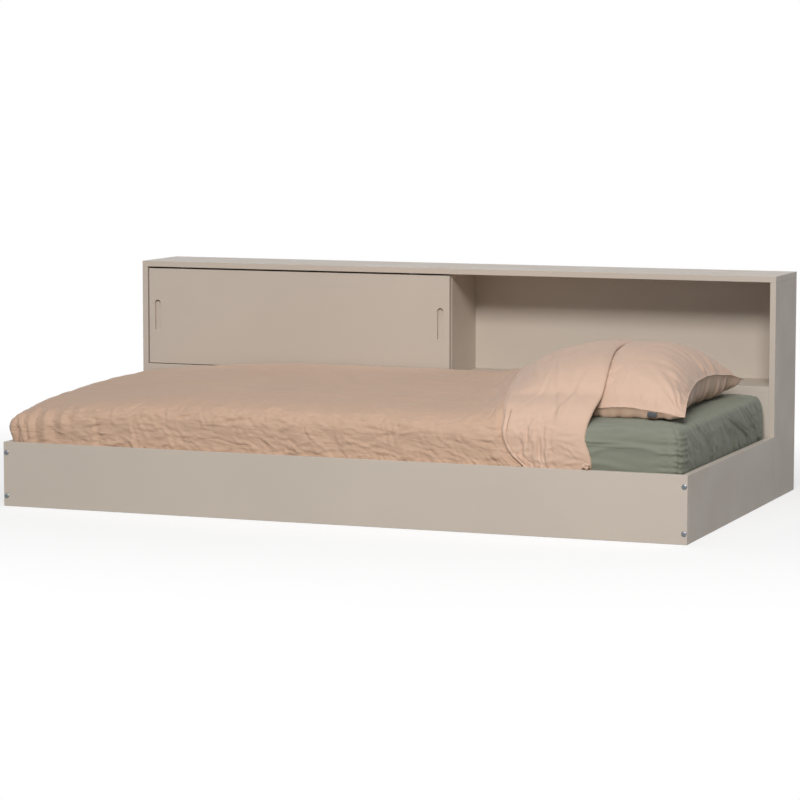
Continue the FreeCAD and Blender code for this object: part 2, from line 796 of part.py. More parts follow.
def duvet_station(along, flat, end, foot, crest, lip):
    """Outline of the duvet across the bed's length at one depth, down to where it is tucked in."""
    front = front_inner_y + soft_gap
    y = between(front, cabinet_y - duvet_rear_gap, along)
    flat_z = sheet_top + fold_height * flat
    foot_z = sheet_top + fold_height * foot
    crest_z = sheet_top + fold_height * crest
    left = -side_inner_x + soft_gap
    crease_x = pillow_center_x - crease_reach - y * crease_skew_share
    cuff_x = pillow_center_x - cuff_reach - y * cuff_skew_share
    lip_x = pillow_center_x + pillow_width * lip
    slope_z = sheet_top + fold_height * end
    end_z = slope_z - duvet_end_drop
    round_x = left + duvet_end_round
    bow_along, bow_up = duvet_end_bow_shares
    end_middle = Vector(between(left, round_x, bow_along), y, between(end_z, slope_z, bow_up))
    cuff_top = Vector(cuff_x + duvet_cuff / 2, y, foot_z + duvet_cuff)
    lip_start = Vector(lip_x - duvet_lip_width, y, crest_z)
    bow_along, bow_up = fold_rise_bow_shares
    rise_middle = Vector(between(cuff_top.x, lip_start.x, bow_along), y, between(cuff_top.z, crest_z, bow_up))
    lip_end = Vector(lip_x, y, crest_z - duvet_lip_drop)
    bow_along, bow_down = lip_bow_shares
    lip_middle = Vector(between(lip_start.x, lip_x, bow_along), y, between(crest_z, lip_end.z, bow_down))
    low_left = Vector(left, y, tuck_bottom)
    low_right = Vector(lip_x, y, tuck_bottom)
    end_top = Vector(left, y, end_z)
    slope_start = Vector(round_x, y, slope_z)
    flat_start = Vector(round_x + pillow_width * duvet_slope_share, y, flat_z)
    crease = Vector(crease_x, y, flat_z)
    foot_point = Vector(cuff_x, y, foot_z)
    return Part.Wire([
        line(low_left, end_top),
        arc(end_top, end_middle, slope_start),
        line(slope_start, flat_start),
        line(flat_start, crease),
        line(crease, foot_point),
        line(foot_point, cuff_top),
        arc(cuff_top, rise_middle, lip_start),
        line(lip_start, lip_middle),
        line(lip_middle, lip_end),
        line(lip_end, low_right),
        line(low_right, low_left),
    ])


def duvet():
    """Duvet tucked in at the front and the left end, its other end folded back over the pillow."""
    outside = Part.makeLoft([duvet_station(*row) for row in duvet_station_shares], True, True)
    corner_y = mattress_rear_y - mattress_corner_radius
    rim_z = mattress_top - duvet_end_drop
    lying = block(-half_length, 0, front_inner_y, corner_y, rim_z, sheet_top + duvet_cuff)
    cover = mattress_form(sheet_outside + duvet_least).common(lying)
    behind = block(-half_length, half_length, corner_y, cabinet_y, slat_top, sheet_top + soft_gap)
    below = mattress_form(sheet_outside + soft_gap)
    return outside.fuse(cover).cut([below, behind, pillow_form(soft_gap)])


# Building

def save(name, pieces):
    """Check every solid of a node and write the node's file."""
    solids = [solid for piece in pieces for solid in piece.Solids]
    for solid in solids:
        if not solid.isValid() or not solid.isClosed() or solid.Volume <= 0:
            raise RuntimeError(name + " is not a closed valid solid")
    shape = solids[0] if len(solids) == 1 else Part.makeCompound(solids)
    shape.exportStep(os.path.join("parts", name + ".step"))
    print(name, len(solids), round(sum(solid.Volume for solid in solids)))


def build_frame():
    """Boards, their fasteners and the door."""
    bolts, nuts, bolt_bores = all_bolts()
    dowels, dowel_bores = all_dowels()
    cams, pins, cam_bores = all_cams()
    bracket_screws, bracket_bores = all_bracket_screws()
    ledger_screws, ledger_bores = all_ledger_screws()
    back_screws, back_bores = all_back_screws()
    bores = bolt_bores + dowel_bores + cam_bores + bracket_bores + ledger_bores + back_bores
    cuts = bores + track_grooves() + back_grooves()
    boards = {
        "front_board": front_board(),
        "end_board_left": end_board(-1),
        "end_board_right": end_board(1),
        "cabinet_side_left": cabinet_side(-1),
        "cabinet_side_right": cabinet_side(1),
        "cabinet_top": cabinet_top(),
        "cabinet_shelf": cabinet_shelf(),
        "divider": divider(),
        "lower_front_panel": lower_front_panel(),
        "shelf_support": shelf_support(),
        "rear_stretcher": rear_stretcher(),
        "corner_bracket_left": corner_bracket(-1),
        "corner_bracket_right": corner_bracket(1),
        "ledger_front": ledger(front_inner_y),
        "ledger_rear": ledger(cabinet_y - ledger_thickness),
    }
    for name, blank in boards.items():
        save(name, [drill(blank, cuts)])
    save("back_panel", [drill(back_panel(), back_bores)])
    save("frame_bolts", bolts)
    save("barrel_nuts", nuts)
    save("wood_dowels", dowels)
    save("cam_locks", cams)
    save("cam_pins", pins)
    save("bracket_screws", bracket_screws)
    save("ledger_screws", ledger_screws)
    save("back_panel_screws", back_screws)


def build_door():
    """The sliding door and what it runs on."""
    rooms = []
    places = {"left": door_left_x + glide_edge_distance, "right": door_right_x - glide_edge_distance}
    for name, x in places.items():
        glide, glide_room = door_glide(x)
        guide, guide_room = door_guide(x)
        save("door_glide_" + name, [glide])
        save("door_guide_" + name, [guide])
        rooms += [glide_room, guide_room]
    save("sliding_door", [sliding_door(rooms)])


def build_bedding():
    """Slatted base, mattress and what lies on it."""
    for index in range(slat_count):
        save("slat_%02d" % (index + 1), [slat(index)])
    save("slat_strap_front", [slat_strap(front_inner_y + strap_inset)])
    save("slat_strap_rear", [slat_strap(cabinet_y - strap_inset - strap_width)])
    save("mattress", [mattress_form(0)])
    save("fitted_sheet", [fitted_sheet()])
    save("pillow", [pillow_form(0)])
    save("pillow_tag", [pillow_tag()])
    save("duvet", [duvet()])


os.makedirs("parts", exist_ok=True)
build_frame()
build_door()
build_bedding()
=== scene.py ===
"""Storage daybed: finishes, fittings and bedding on the fixed frame. Metres throughout."""

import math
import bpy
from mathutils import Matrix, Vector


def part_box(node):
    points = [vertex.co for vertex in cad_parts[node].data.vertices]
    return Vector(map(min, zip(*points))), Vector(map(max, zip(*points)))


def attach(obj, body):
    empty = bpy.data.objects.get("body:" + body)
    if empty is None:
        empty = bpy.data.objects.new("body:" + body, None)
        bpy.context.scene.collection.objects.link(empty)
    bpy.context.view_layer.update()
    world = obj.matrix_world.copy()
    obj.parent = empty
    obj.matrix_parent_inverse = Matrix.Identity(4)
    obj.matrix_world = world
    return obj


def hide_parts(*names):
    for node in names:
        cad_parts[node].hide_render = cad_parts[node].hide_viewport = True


bl_info = {
    "name": "Storage daybed",
    "version": (1, 0, 0),
    "blender": (4, 5, 0),
    "location": "3D View > Sidebar > Daybed",
    "description": "Finishes, fittings and bedding of a storage daybed",
    "category": "Object",
}

import bpy
import numpy as np
from bpy.props import FloatProperty, FloatVectorProperty, IntProperty, PointerProperty
from mathutils import Matrix, Vector

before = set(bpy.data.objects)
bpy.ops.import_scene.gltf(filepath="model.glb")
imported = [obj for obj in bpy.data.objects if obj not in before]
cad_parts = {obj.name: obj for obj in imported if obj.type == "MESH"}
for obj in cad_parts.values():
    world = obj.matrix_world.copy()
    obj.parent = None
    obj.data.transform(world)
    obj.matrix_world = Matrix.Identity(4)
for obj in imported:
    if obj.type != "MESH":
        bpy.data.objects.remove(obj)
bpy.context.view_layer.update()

BOARDS = (
    "front_board", "end_board_left", "end_board_right", "cabinet_side_left", "cabinet_side_right",
    "cabinet_top", "cabinet_shelf", "divider", "lower_front_panel", "shelf_support",
    "rear_stretcher", "back_panel", "sliding_door",
)
STEEL = (
    "barrel_nuts", "corner_bracket_left", "corner_bracket_right", "bracket_screws",
    "cam_pins", "back_panel_screws", "ledger_screws", "cam_locks",
)
RUNNERS = ("door_glide_left", "door_glide_right", "door_guide_left", "door_guide_right")
BARE_WOOD = ("ledger_front", "ledger_rear", "wood_dowels")
SLATS = tuple("slat_%02d" % i for i in range(1, 15))


# Properties

def length_property(name, description, default, smallest=0.0):
    """A length in metres."""
    return FloatProperty(name=name, description=description, default=default, min=smallest, unit="LENGTH")


def spare_property(name, description, default):
    """A share of spare cloth."""
    return FloatProperty(
        name=name, description=description, default=default, min=0.0, max=0.2, subtype="FACTOR")


def colour_property(name, description, default):
    """The colour of a finish."""
    return FloatVectorProperty(
        name=name, description=description, default=default, size=3, min=0.0, max=1.0, subtype="COLOR")


class DaybedSizes(bpy.types.PropertyGroup):
    """Sizes of the bedding and of its meshes."""

    duvet_cell: length_property(
        "Duvet cell", "Spacing of the duvet's mesh while it settles", 0.0105, 0.006)
    crease_cell: length_property(
        "Crease cell", "Spacing of the duvet's mesh over its front", 0.0037, 0.003)
    duvet_spare: spare_property(
        "Duvet spare cloth", "Share by which the duvet's front is cut longer than its place", 0.022)
    pillow_cell: length_property(
        "Pillow cell", "Spacing of the pillow's mesh", 0.0065, 0.004)
    pillow_spare: spare_property(
        "Pillow spare cloth", "Share by which the pillowcase is cut longer than its place", 0.02)
    sheet_cell: length_property(
        "Sheet cell", "Spacing of the fitted sheet's mesh along the head end", 0.0085, 0.004)
    cuff_thickness: length_property(
        "Cuff thickness", "Thickness of the duvet's folded-back end at its free edge", 0.009)
    lip_thickness: length_property(
        "Lip thickness", "Thickness of the fold of the duvet's end", 0.016)
    corner_radius: length_property(
        "Corner radius", "Rounding of the fitted sheet's corners, seen from above", 0.034)
    settle_frames: IntProperty(
        name="Settling steps", description="Steps that the cloth is given to settle", default=22, min=1)


class DaybedColours(bpy.types.PropertyGroup):
    """Colours of the daybed's finishes."""

    paint: colour_property("Paint", "Satin paint of the boards", (0.545, 0.480, 0.415))
    duvet: colour_property(
        "Blush cotton", "Right side of the duvet cover's cotton", (0.58, 0.393, 0.282))
    reverse: colour_property(
        "Pale blush cotton", "Reverse side of the duvet cover, and the pillowcase", (0.668, 0.470, 0.358))
    sheet: colour_property("Sage cotton", "Cotton of the fitted sheet", (0.221, 0.236, 0.184))
    tab: colour_property("Grey tab", "Woven tab in the pillow's seam", (0.075, 0.08, 0.09))
    ticking: colour_property("Mattress ticking", "Woven cover of the mattress", (0.76, 0.74, 0.69))
    wood: colour_property("Bare wood", "Planed wood of the slats and ledgers", (0.58, 0.41, 0.24))
    steel: colour_property("Zinc plating", "Zinc plated steel of the fittings", (0.20, 0.21, 0.222))
    nylon: colour_property("Nylon", "Nylon of the door's glides and guides", (0.035, 0.035, 0.037))
    webbing: colour_property("Webbing", "Webbing under the slats", (0.66, 0.63, 0.55))
    floor: colour_property("Floor", "Pale studio floor", (0.9, 0.9, 0.9))


# Node trees

def set_all(item, **values):
    """Sets several of an item's own values."""
    for key, value in values.items():
        setattr(item, key, value)


class Tree:
    """A short way to write a node tree."""

    def __init__(self, tree):
        self.tree = tree

    def add(self, kind, inputs=None, **settings):
        """A node with its settings, and its inputs set or linked by name or number."""
        node = self.tree.nodes.new(kind)
        set_all(node, **settings)
        for key, value in (inputs or {}).items():
            self.feed(node.inputs[key], value)
        return node

    def made(self, kind, inputs=None, **settings):
        """The first output of a new node."""
        return self.add(kind, inputs, **settings).outputs[0]

    def feed(self, socket, value):
        """Links an output to a socket, or sets the socket's own value."""
        if isinstance(value, bpy.types.NodeSocket):
            self.tree.links.new(value, socket)
        else:
            socket.default_value = value

    def maths(self, operation, first, second=0.0):
        """One sum of two values or outputs."""
        return self.made("ShaderNodeMath", {0: first, 1: second}, operation=operation)

    def vector(self, x=0.0, y=0.0, z=0.0):
        """Three values or outputs as a vector."""
        return self.made("ShaderNodeCombineXYZ", {0: x, 1: y, 2: z})

    def seen(self):
        """1 where the camera looks straight, in a reflection or through something, and 0 for light."""
        path = self.add("ShaderNodeLightPath").outputs
        straight = self.maths("MAXIMUM", path["Is Camera Ray"], path["Is Glossy Ray"])
        return self.maths("MAXIMUM", straight, path["Is Transmission Ray"])


class Nodes(Tree):
    """The node tree of a material."""

    def __init__(self, name):
        self.material = bpy.data.materials.new(name)
        self.material.use_nodes = True
        super().__init__(self.material.node_tree)
        self.shader = self.tree.nodes["Principled BSDF"]
        self.output = self.tree.nodes["Material Output"]

    def shade(self, **inputs):
        """Sets or links the main shader's sockets by name, with underscores for spaces."""
        for key, value in inputs.items():
            self.feed(self.shader.inputs[key.replace("_", " ")], value)

    def ramp(self, value, low, high, first, last):
        """A value mapped from low..high to first..last, held at both ends."""
        return self.made("ShaderNodeMapRange", {
            "Value": value, "From Min": low, "From Max": high, "To Min": first, "To Max": last}, clamp=True)

    def mix(self, share, first, last, blend="MIX"):
        """Two colours mixed by a share."""
        node = self.add(
            "ShaderNodeMix", {"Factor": share}, data_type="RGBA", blend_type=blend)
        self.feed(node.inputs["A"], first)
        self.feed(node.inputs["B"], last)
        return node.outputs["Result"]

    def place(self, scale=(1, 1, 1), source="Object", turn=(0, 0, 0)):
        """Coordinates of the piece, stretched and turned."""
        kind = self.add("ShaderNodeTexCoord").outputs[source]
        return self.made("ShaderNodeMapping", {"Vector": kind, "Scale": scale, "Rotation": turn})

    def noise(self, vector, scale, detail=3.0, rough=0.55, warp=0.0):
        """Cloudy noise from 0 to 1."""
        return self.add("ShaderNodeTexNoise", {
            "Vector": vector, "Scale": scale, "Detail": detail, "Roughness": rough,
            "Distortion": warp}).outputs["Fac"]

    def bump(self, height, strength, distance, after=None):
        """A bump of a height field in metres, after another bump."""
        node = self.add("ShaderNodeBump", {"Height": height, "Strength": strength, "Distance": distance})
        if after is not None:
            self.feed(node.inputs["Normal"], after)
        return node.outputs[0]


# Finishes

def tint(colour, factor):
    """The colour, lighter or darker, with full alpha."""
    return tuple(min(channel * factor, 1.0) for channel in colour) + (1.0,)


def painted_board(colour):
    """Satin sprayed paint: a very fine skin, faint clouding and slightly rubbed sheen."""
    n = Nodes("painted_board")
    where = n.place()
    clouds = n.noise(where, 1.7, 3.0)
    rub = n.noise(where, 9.0, 4.0)
    skin = n.noise(where, 900.0, 2.0)
    n.shade(
        Base_Color=n.mix(n.ramp(clouds, 0.3, 0.7, 0.0, 1.0), tint(colour, 0.965), tint(colour, 1.03)),
        Roughness=n.ramp(rub, 0.3, 0.7, 0.40, 0.50),
        Normal=n.bump(skin, 0.10, 0.0004, n.bump(clouds, 0.15, 0.002)),
    )
    return n.material


def zinc_steel(colour):
    """Zinc plating with a spangled, slightly brushed surface."""
    n = Nodes("zinc_steel")
    where = n.place()
    spangle = n.add("ShaderNodeTexVoronoi", {"Vector": where, "Scale": 420.0}).outputs["Color"]
    brushed = n.noise(n.place((1, 1, 30)), 160.0, 2.0)
    n.shade(
        Base_Color=n.mix(0.16, tint(colour, 1.0), spangle, "OVERLAY"),
        Metallic=1.0,
        Roughness=n.ramp(brushed, 0.3, 0.7, 0.26, 0.42),
        Normal=n.bump(brushed, 0.12, 0.0002),
    )
    return n.material


def nylon(colour):
    """Moulded nylon, slightly mottled and waxy."""
    n = Nodes("nylon")
    mottle = n.noise(n.place(), 140.0, 3.0)
    n.shade(
        Base_Color=n.mix(mottle, tint(colour, 0.95), tint(colour, 1.04)),
        Roughness=n.ramp(mottle, 0.3, 0.7, 0.36, 0.48),
        Subsurface_Weight=0.05,
        Normal=n.bump(mottle, 0.08, 0.0003),
    )
    return n.material


def bare_wood(name, colour, along):
    """Planed softwood whose grain runs along one axis."""
    n = Nodes(name)
    stretch = [22.0, 22.0, 22.0]
    stretch[along] = 1.1
    where = n.place(tuple(stretch))
    rings = n.noise(where, 1.0, 4.0, 0.6, 0.6)
    figure = n.add("ShaderNodeTexWave", {
        "Vector": where, "Scale": 1.4, "Distortion": 5.0, "Detail": 3.0, "Detail Scale": 1.2},
        bands_direction="DIAGONAL").outputs["Fac"]
    fibres = list(stretch)
    fibres[along] = 0.6
    pores = n.noise(n.place(tuple(value * 14 for value in fibres)), 1.0, 2.0)
    tone = n.mix(n.ramp(rings, 0.3, 0.7, 0.0, 1.0), tint(colour, 0.86), tint(colour, 1.08))
    tone = n.mix(n.ramp(figure, 0.2, 0.9, 0.0, 0.34), tone, tint(colour, 0.74))
    n.shade(
        Base_Color=n.mix(n.ramp(pores, 0.56, 0.7, 0.0, 0.3), tone, tint(colour, 0.6)),
        Roughness=n.ramp(rings, 0.3, 0.7, 0.52, 0.66),
        Normal=n.bump(pores, 0.14, 0.0005),
    )
    return n.material


# Smallest creases of the cotton: scales along and across, turn and strength
SMALL_CREASES = (((9, 40, 1), 0.08, 0.24), ((11, 34, 1), -0.4, 0.15), ((10, 30, 1), 1.3, 0.14))


def woven(name, colour, pitch, depth, sheen=0.1, creases=0.0, rough=0.82, slub=0.05, source="UV",
          face=None, front=None):
    """Plain weave on a map in metres, with slubs, faint creases and sheen.

    face is the colour where the mesh isn't marked as reverse, and front the place along y up to
    which the cotton has its smallest creases.
    """
    n = Nodes(name)
    where = n.place((1, 1, 1), source)
    turns = 2 * math.pi / pitch
    warp, weft = (
        n.add("ShaderNodeTexWave", {"Vector": where, "Scale": turns / 20, "Distortion": 0.6, "Detail": 1.0},
              wave_type="BANDS", bands_direction=way).outputs["Fac"]
        for way in ("X", "Y"))
    weave = n.maths("MULTIPLY", warp, weft)
    threads_x, threads_y = (
        n.noise(n.place(scale, source), 700.0, 2.0) for scale in ((0.04, 1.0, 1.0), (1.0, 0.04, 1.0)))
    slubs = n.maths("MAXIMUM", threads_x, threads_y)
    clouds = n.noise(where, 3.2, 3.0)
    fold = n.noise(n.place((0.55, 1.25, 1.0), source, (0, 0, 0.4)), 13.0, 5.0, 0.6, 1.1)
    tone = n.mix(n.ramp(clouds, 0.3, 0.7, 0.0, 1.0), tint(colour, 0.965), tint(colour, 1.03))
    tone = n.mix(n.ramp(slubs, 0.45, 0.75, 0.0, slub), tone, tint(colour, 0.6))
    tone = n.mix(n.ramp(weave, 0.0, 1.0, 0.06, 0.0), tone, tint(colour, 0.5))
    outside = 1.0
    if face is not None:
        shares = tuple(min(a / b, 1.0) for a, b in zip(face, colour)) + (1.0,)
        # The reverse mark also carries painted shade: on the pillow's underside it is lowered, which darkens
        # the cotton towards the face colour.
        reverse = n.add("ShaderNodeAttribute", attribute_name="reverse").outputs["Fac"]
        outside = n.maths("SUBTRACT", 1.0, reverse)
        tone = n.mix(outside, tone, shares, "MULTIPLY")
    creased_bump = n.bump(fold, creases, 0.006)
    if front is not None:
        from_front = n.add("ShaderNodeSeparateXYZ", {"Vector": n.place()}).outputs["Y"]
        share = n.maths("MULTIPLY", n.ramp(from_front, front, front + 0.04, 1.0, 0.0), outside)
        for scales, turn, strength in SMALL_CREASES:
            turned = n.place((1, 1, 1), "UV", (0, 0, turn))
            stretched = n.made("ShaderNodeMapping", {"Vector": turned, "Scale": scales})
            lines = n.maths("SUBTRACT", n.noise(stretched, 1.0, 1.2, 0.5, 0.5), 0.5)
            lines = n.ramp(n.maths("ABSOLUTE", lines), 0.0, 0.09, 0.0, 1.0)
            creased_bump = n.bump(n.maths("MULTIPLY", lines, share), strength, 0.003, creased_bump)
    n.shade(
        Base_Color=tone,
        Roughness=n.ramp(slubs, 0.4, 0.7, rough - 0.05, rough + 0.05),
        Sheen_Weight=sheen,
        Sheen_Roughness=0.45,
        Normal=n.bump(weave, 0.22, depth, creased_bump),
    )
    return n.material


def blush_cotton(colours):
    """The cotton of the duvet cover and the pillowcase, paler where the mesh is marked as reverse, and darker
    as painted shade where the pillow's underside is marked less.
    """
    made = bpy.data.materials.get("blush_cotton_weave")
    if made is None:
        made = woven(
            "blush_cotton_weave", colours.reverse, pitch=0.0011, depth=0.00035, sheen=0.22,
            creases=0.25, face=colours.duvet, front=-0.56)
    return made


def mark_reverse_and_shade(piece, share):
    """Marks every point of a piece as the cotton's reverse side, or not, or by a share between; on the pillow
    a lower share is painted shade.
    """
    mark = piece.data.attributes.new("reverse", "FLOAT", "POINT")
    mark.data.foreach_set("value", np.full(len(piece.data.vertices), share, np.float32))
    return piece


# Shapes

def cubic(t, first, lead, last, trail):
    """A cubic from a first to a last value, with its slopes at both."""
    return (first * (2 * t**3 - 3 * t**2 + 1) + lead * (t**3 - 2 * t**2 + t)
            + last * (3 * t**2 - 2 * t**3) + trail * (t**3 - t**2))


def smooth_line(points, count):
    """A smooth line through points of any number of dimensions, with evenly spaced samples."""
    p = np.asarray(points, float)
    before = 2 * p[0] - p[1]
    after = 2 * p[-1] - p[-2]
    q = np.vstack([before, p, after])
    steps = np.linspace(0, 1, 24, endpoint=False)[:, None]
    parts = []
    for a, b, c, d in zip(q, q[1:], q[2:], q[3:]):
        ab = max(np.linalg.norm(b - a), 1e-9) ** 0.5
        bc = max(np.linalg.norm(c - b), 1e-9) ** 0.5
        cd = max(np.linalg.norm(d - c), 1e-9) ** 0.5
        lead = ((b - a) / ab - (c - a) / (ab + bc) + (c - b) / bc) * bc
        trail = ((c - b) / bc - (d - b) / (bc + cd) + (d - c) / cd) * bc
        parts.append(cubic(steps, b, lead, c, trail))
    fine = np.vstack(parts + [p[-1:]])
    return resample(fine, count)


def run_along(line):
    """Distance along a polyline at each of its points."""
    return np.concatenate([[0], np.cumsum(np.linalg.norm(np.diff(line, axis=0), axis=1))])


def resample(line, count):
    """A polyline at evenly spaced places along it."""
    run = run_along(line)
    places = np.linspace(0, run[-1], count)
    return np.stack([np.interp(places, run, line[:, k]) for k in range(line.shape[1])], axis=1)


def smooth_values(places, values, at):
    """Values at places of a smooth line through known ones."""
    line = smooth_line(np.stack([places, values], axis=1), 400)
    return np.interp(at, line[:, 0], line[:, 1])


def ease(low, high, value):
    """From 0 at low to 1 at high, with a soft start and end."""
    t = np.clip((value - low) / (high - low), 0, 1)
    return t * t * (3 - 2 * t)


def fade(low, high, value):
    """From 1 at low to 0 at high, with a soft start and end."""
    return 1 - ease(low, high, value)


def hump(distance, width):
    """A soft hump, 1 at no distance."""
    return np.exp(-((distance / width) ** 2))


def lattice_noise(x, y, seed):
    """Smooth noise from -1 to 1 over a plane, the same on every run."""
    x0, y0 = np.floor(x).astype(np.int64), np.floor(y).astype(np.int64)
    fx, fy = x - x0, y - y0
    fx, fy = fx**3 * (fx * (fx * 6 - 15) + 10), fy**3 * (fy * (fy * 6 - 15) + 10)

    def corner(a, b):
        h = (a * 374761393 + b * 668265263 + seed * 1442695041) & 0xFFFFFFFF
        h = ((h ^ (h >> 13)) * 1274126177) & 0xFFFFFFFF
        return ((h ^ (h >> 16)) & 0xFFFF) / 32767.5 - 1

    low = corner(x0, y0) * (1 - fx) + corner(x0 + 1, y0) * fx
    high = corner(x0, y0 + 1) * (1 - fx) + corner(x0 + 1, y0 + 1) * fx
    return low * (1 - fy) + high * fy


def layered_noise(x, y, seed):
    """Noise with two layers of finer noise on it."""
    total = 0.0
    for k in range(3):
        total = total + 0.5**k * lattice_noise(x * 2**k, y * 2**k, seed + 17 * k)
    return total / 1.75


def creased(x, y, seed, warp=0.6):
    """Crumpled cloth from 0 to 1: sharp ridges between broad hollows."""
    wx = x + warp * lattice_noise(x * 0.7, y * 0.7, seed + 91)
    wy = y + warp * lattice_noise(x * 0.7, y * 0.7, seed + 92)
    first = (1 - np.abs(lattice_noise(wx, wy, seed))) ** 3
    second = (1 - np.abs(lattice_noise(wx * 2.1, wy * 1.9, seed + 1))) ** 3
    return first * (0.62 + 0.38 * second) + 0.3 * second


def strokes(x, y, seed, count, area, angle, spread, lengths, widths):
    """Crease lines laid over an area: each a soft ridge with a hollow beside it, from -1 to 1."""
    rng = np.random.default_rng(seed)
    total = np.zeros_like(x)
    for _ in range(count):
        cx = rng.uniform(area[0], area[1])
        cy = rng.uniform(area[2], area[3])
        turn = angle + rng.normal(0, spread)
        long = rng.uniform(*lengths)
        wide = rng.uniform(*widths)
        bend = rng.uniform(-0.35, 0.35)
        weight = rng.uniform(0.35, 1.0) * rng.choice([-1, 1])
        dx, dy = x - cx, y - cy
        near = (np.abs(dx) < 2.4 * long) & (np.abs(dy) < 2.4 * long)
        along = dx[near] * math.cos(turn) + dy[near] * math.sin(turn)
        aside = -dx[near] * math.sin(turn) + dy[near] * math.cos(turn) + bend * along**2 / long
        ridge = hump(aside, wide) - 0.55 * hump(aside - 1.5 * wide, wide)
        total[near] += weight * ridge * hump(along, long)
    return total


def pulled(x, z, folds):
    """Single folds of gathered cloth: place at the top, place at the foot, width and height of each."""
    total = np.zeros_like(x)
    for x0, z0, x1, z1, wide, tall in folds:
        share = (z0 - z) / (z0 - z1)
        aside = (x - x0 - (x1 - x0) * np.clip(share, -0.3, 1.3)) / (wide * (0.6 + 0.4 * np.clip(share, 0, 1)))
        along = ease(-0.25, 0.25, share) * fade(0.85, 1.2, share)
        total += tall * along * (hump(aside, 1) - 0.5 * hump(aside - 1.5, 1))
    return total


def softened(field):
    """Values over a grid, averaged with their neighbours both ways."""
    for axis in (0, 1):
        f = np.moveaxis(field, axis, 0)
        g = f.copy()
        g[1:-1] = 0.25 * f[:-2] + 0.5 * f[1:-1] + 0.25 * f[2:]
        field = np.moveaxis(g, 0, axis)
    return field


def grid_normals(grid):
    """Outward direction at each point of a grid."""
    across = np.gradient(grid, axis=0)
    along = np.gradient(grid, axis=1)
    normal = np.cross(across, along)
    return normal / np.maximum(np.linalg.norm(normal, axis=2, keepdims=True), 1e-12)


def grid_map(grid):
    """A map in metres that runs with the cloth: distances along both ways of a grid."""
    across = np.linalg.norm(np.diff(grid, axis=0), axis=2)
    along = np.linalg.norm(np.diff(grid, axis=1), axis=2)
    middle = along[grid.shape[0] // 2]
    u = np.concatenate([np.zeros((1, grid.shape[1])), np.cumsum(across, axis=0)])
    v = np.concatenate([[0], np.cumsum(middle)])[None, :] * np.ones((grid.shape[0], 1))
    return np.stack([u, v], axis=2)


def turned_edge(grid, radius, back, last=True, steps=6):
    """A grid whose first or last column is turned under: a round nose, then a flat run back."""
    g = grid if last else grid[::-1]
    edge = g[-1]
    out = g[-1] - g[-3]
    out /= np.maximum(np.linalg.norm(out, axis=1, keepdims=True), 1e-12)
    along = np.gradient(edge, axis=0)
    normal = np.cross(out, along) if last else np.cross(along, out)
    normal /= np.maximum(np.linalg.norm(normal, axis=1, keepdims=True), 1e-12)
    rows = []
    for k in range(1, steps + 1):
        a = math.pi * k / steps
        rows.append(edge + out * (radius * math.sin(a)) - normal * (radius * (1 - math.cos(a))))
    for k in range(1, 4):
        rows.append(rows[steps - 1] - out * (back * k / 3))
    g = np.concatenate([g, np.stack(rows)])
    return g if last else g[::-1]


def placed(name, data):
    """A new object in the scene."""
    item = bpy.data.objects.new(name, data)
    bpy.context.scene.collection.objects.link(item)
    return item


def bare_piece(name, points, edges=()):
    """An object of bare points and edges, for a tree to work on."""
    mesh = bpy.data.meshes.new(name)
    mesh.from_pydata(points, edges, [])
    return placed(name, mesh)


def mesh_piece(name, points, faces, maps=None):
    """A smooth mesh object from points and faces, with a map in metres."""
    mesh = bpy.data.meshes.new(name)
    mesh.from_pydata([tuple(p) for p in points], [], faces)
    if maps is not None:
        layer = mesh.uv_layers.new(name="cloth")
        corner = np.zeros(len(mesh.loops), np.int32)
        mesh.loops.foreach_get("vertex_index", corner)
        layer.data.foreach_set("uv", np.asarray(maps, np.float32)[corner].ravel())
    mesh.polygons.foreach_set("use_smooth", [True] * len(mesh.polygons))
    mesh.update()
    return placed(name, mesh)


def grid_faces(across, along, start=0):
    """Faces of a grid of points counted along first."""
    i, j = np.meshgrid(np.arange(across - 1), np.arange(along - 1), indexing="ij")
    a = start + i * along + j
    quads = np.stack([a, a + along, a + along + 1, a + 1], axis=2)
    return quads.reshape(-1, 4).tolist()


def finer(grid, places, axis):
    """A grid at any places along one of its ways, counted in its own rows, smoothly between them."""
    g = np.moveaxis(grid, axis, 0)
    last = len(g) - 1
    at = np.clip(np.floor(places).astype(int), 0, last - 1)
    t = (places - at).reshape((-1,) + (1,) * (g.ndim - 1))
    before = np.where(t * 0 + at.reshape(t.shape) > 0, g[np.maximum(at - 1, 0)], 2 * g[at] - g[at + 1])
    after = np.where(
        t * 0 + at.reshape(t.shape) < last - 1, g[np.minimum(at + 2, last)], 2 * g[at + 1] - g[at])
    lead, trail = (g[at + 1] - before) / 2, (after - g[at]) / 2
    return np.moveaxis(cubic(t, g[at], lead, g[at + 1], trail), 0, axis)


def closed_skin(name, grid, thickness):
    """A closed mesh from a grid: its outer skin, and a plainer one inside it."""
    across, along, _ = grid.shape
    inner = grid[::2, ::2] - grid_normals(grid)[::2, ::2] * thickness
    m, n, _ = inner.shape
    first = across * along
    faces = grid_faces(across, along)
    faces += [face[::-1] for face in grid_faces(m, n, first)]
    low = [(i * along, first + i // 2 * n) for i in range(0, across, 2)]
    far = [((across - 1) * along + j, first + (m - 1) * n + j // 2) for j in range(0, along, 2)]
    high = [(i * along + along - 1, first + i // 2 * n + n - 1) for i in range(across - 1, -1, -2)]
    near = [(j, first + j // 2) for j in range(along - 1, -1, -2)]
    for side, step in ((low, along), (far, 1), (high, -along), (near, -1)):
        for (outer, inside), (outer_after, inside_after) in zip(side, side[1:]):
            middle = outer + step
            faces.append([outer, inside, middle])
            faces.append([middle, inside, inside_after])
            faces.append([middle, inside_after, outer_after])
    points = np.vstack([grid.reshape(-1, 3), inner.reshape(-1, 3)])
    maps = grid_map(grid)
    both = np.vstack([maps.reshape(-1, 2), maps[::2, ::2].reshape(-1, 2)])
    return mesh_piece(name, points, faces, both)


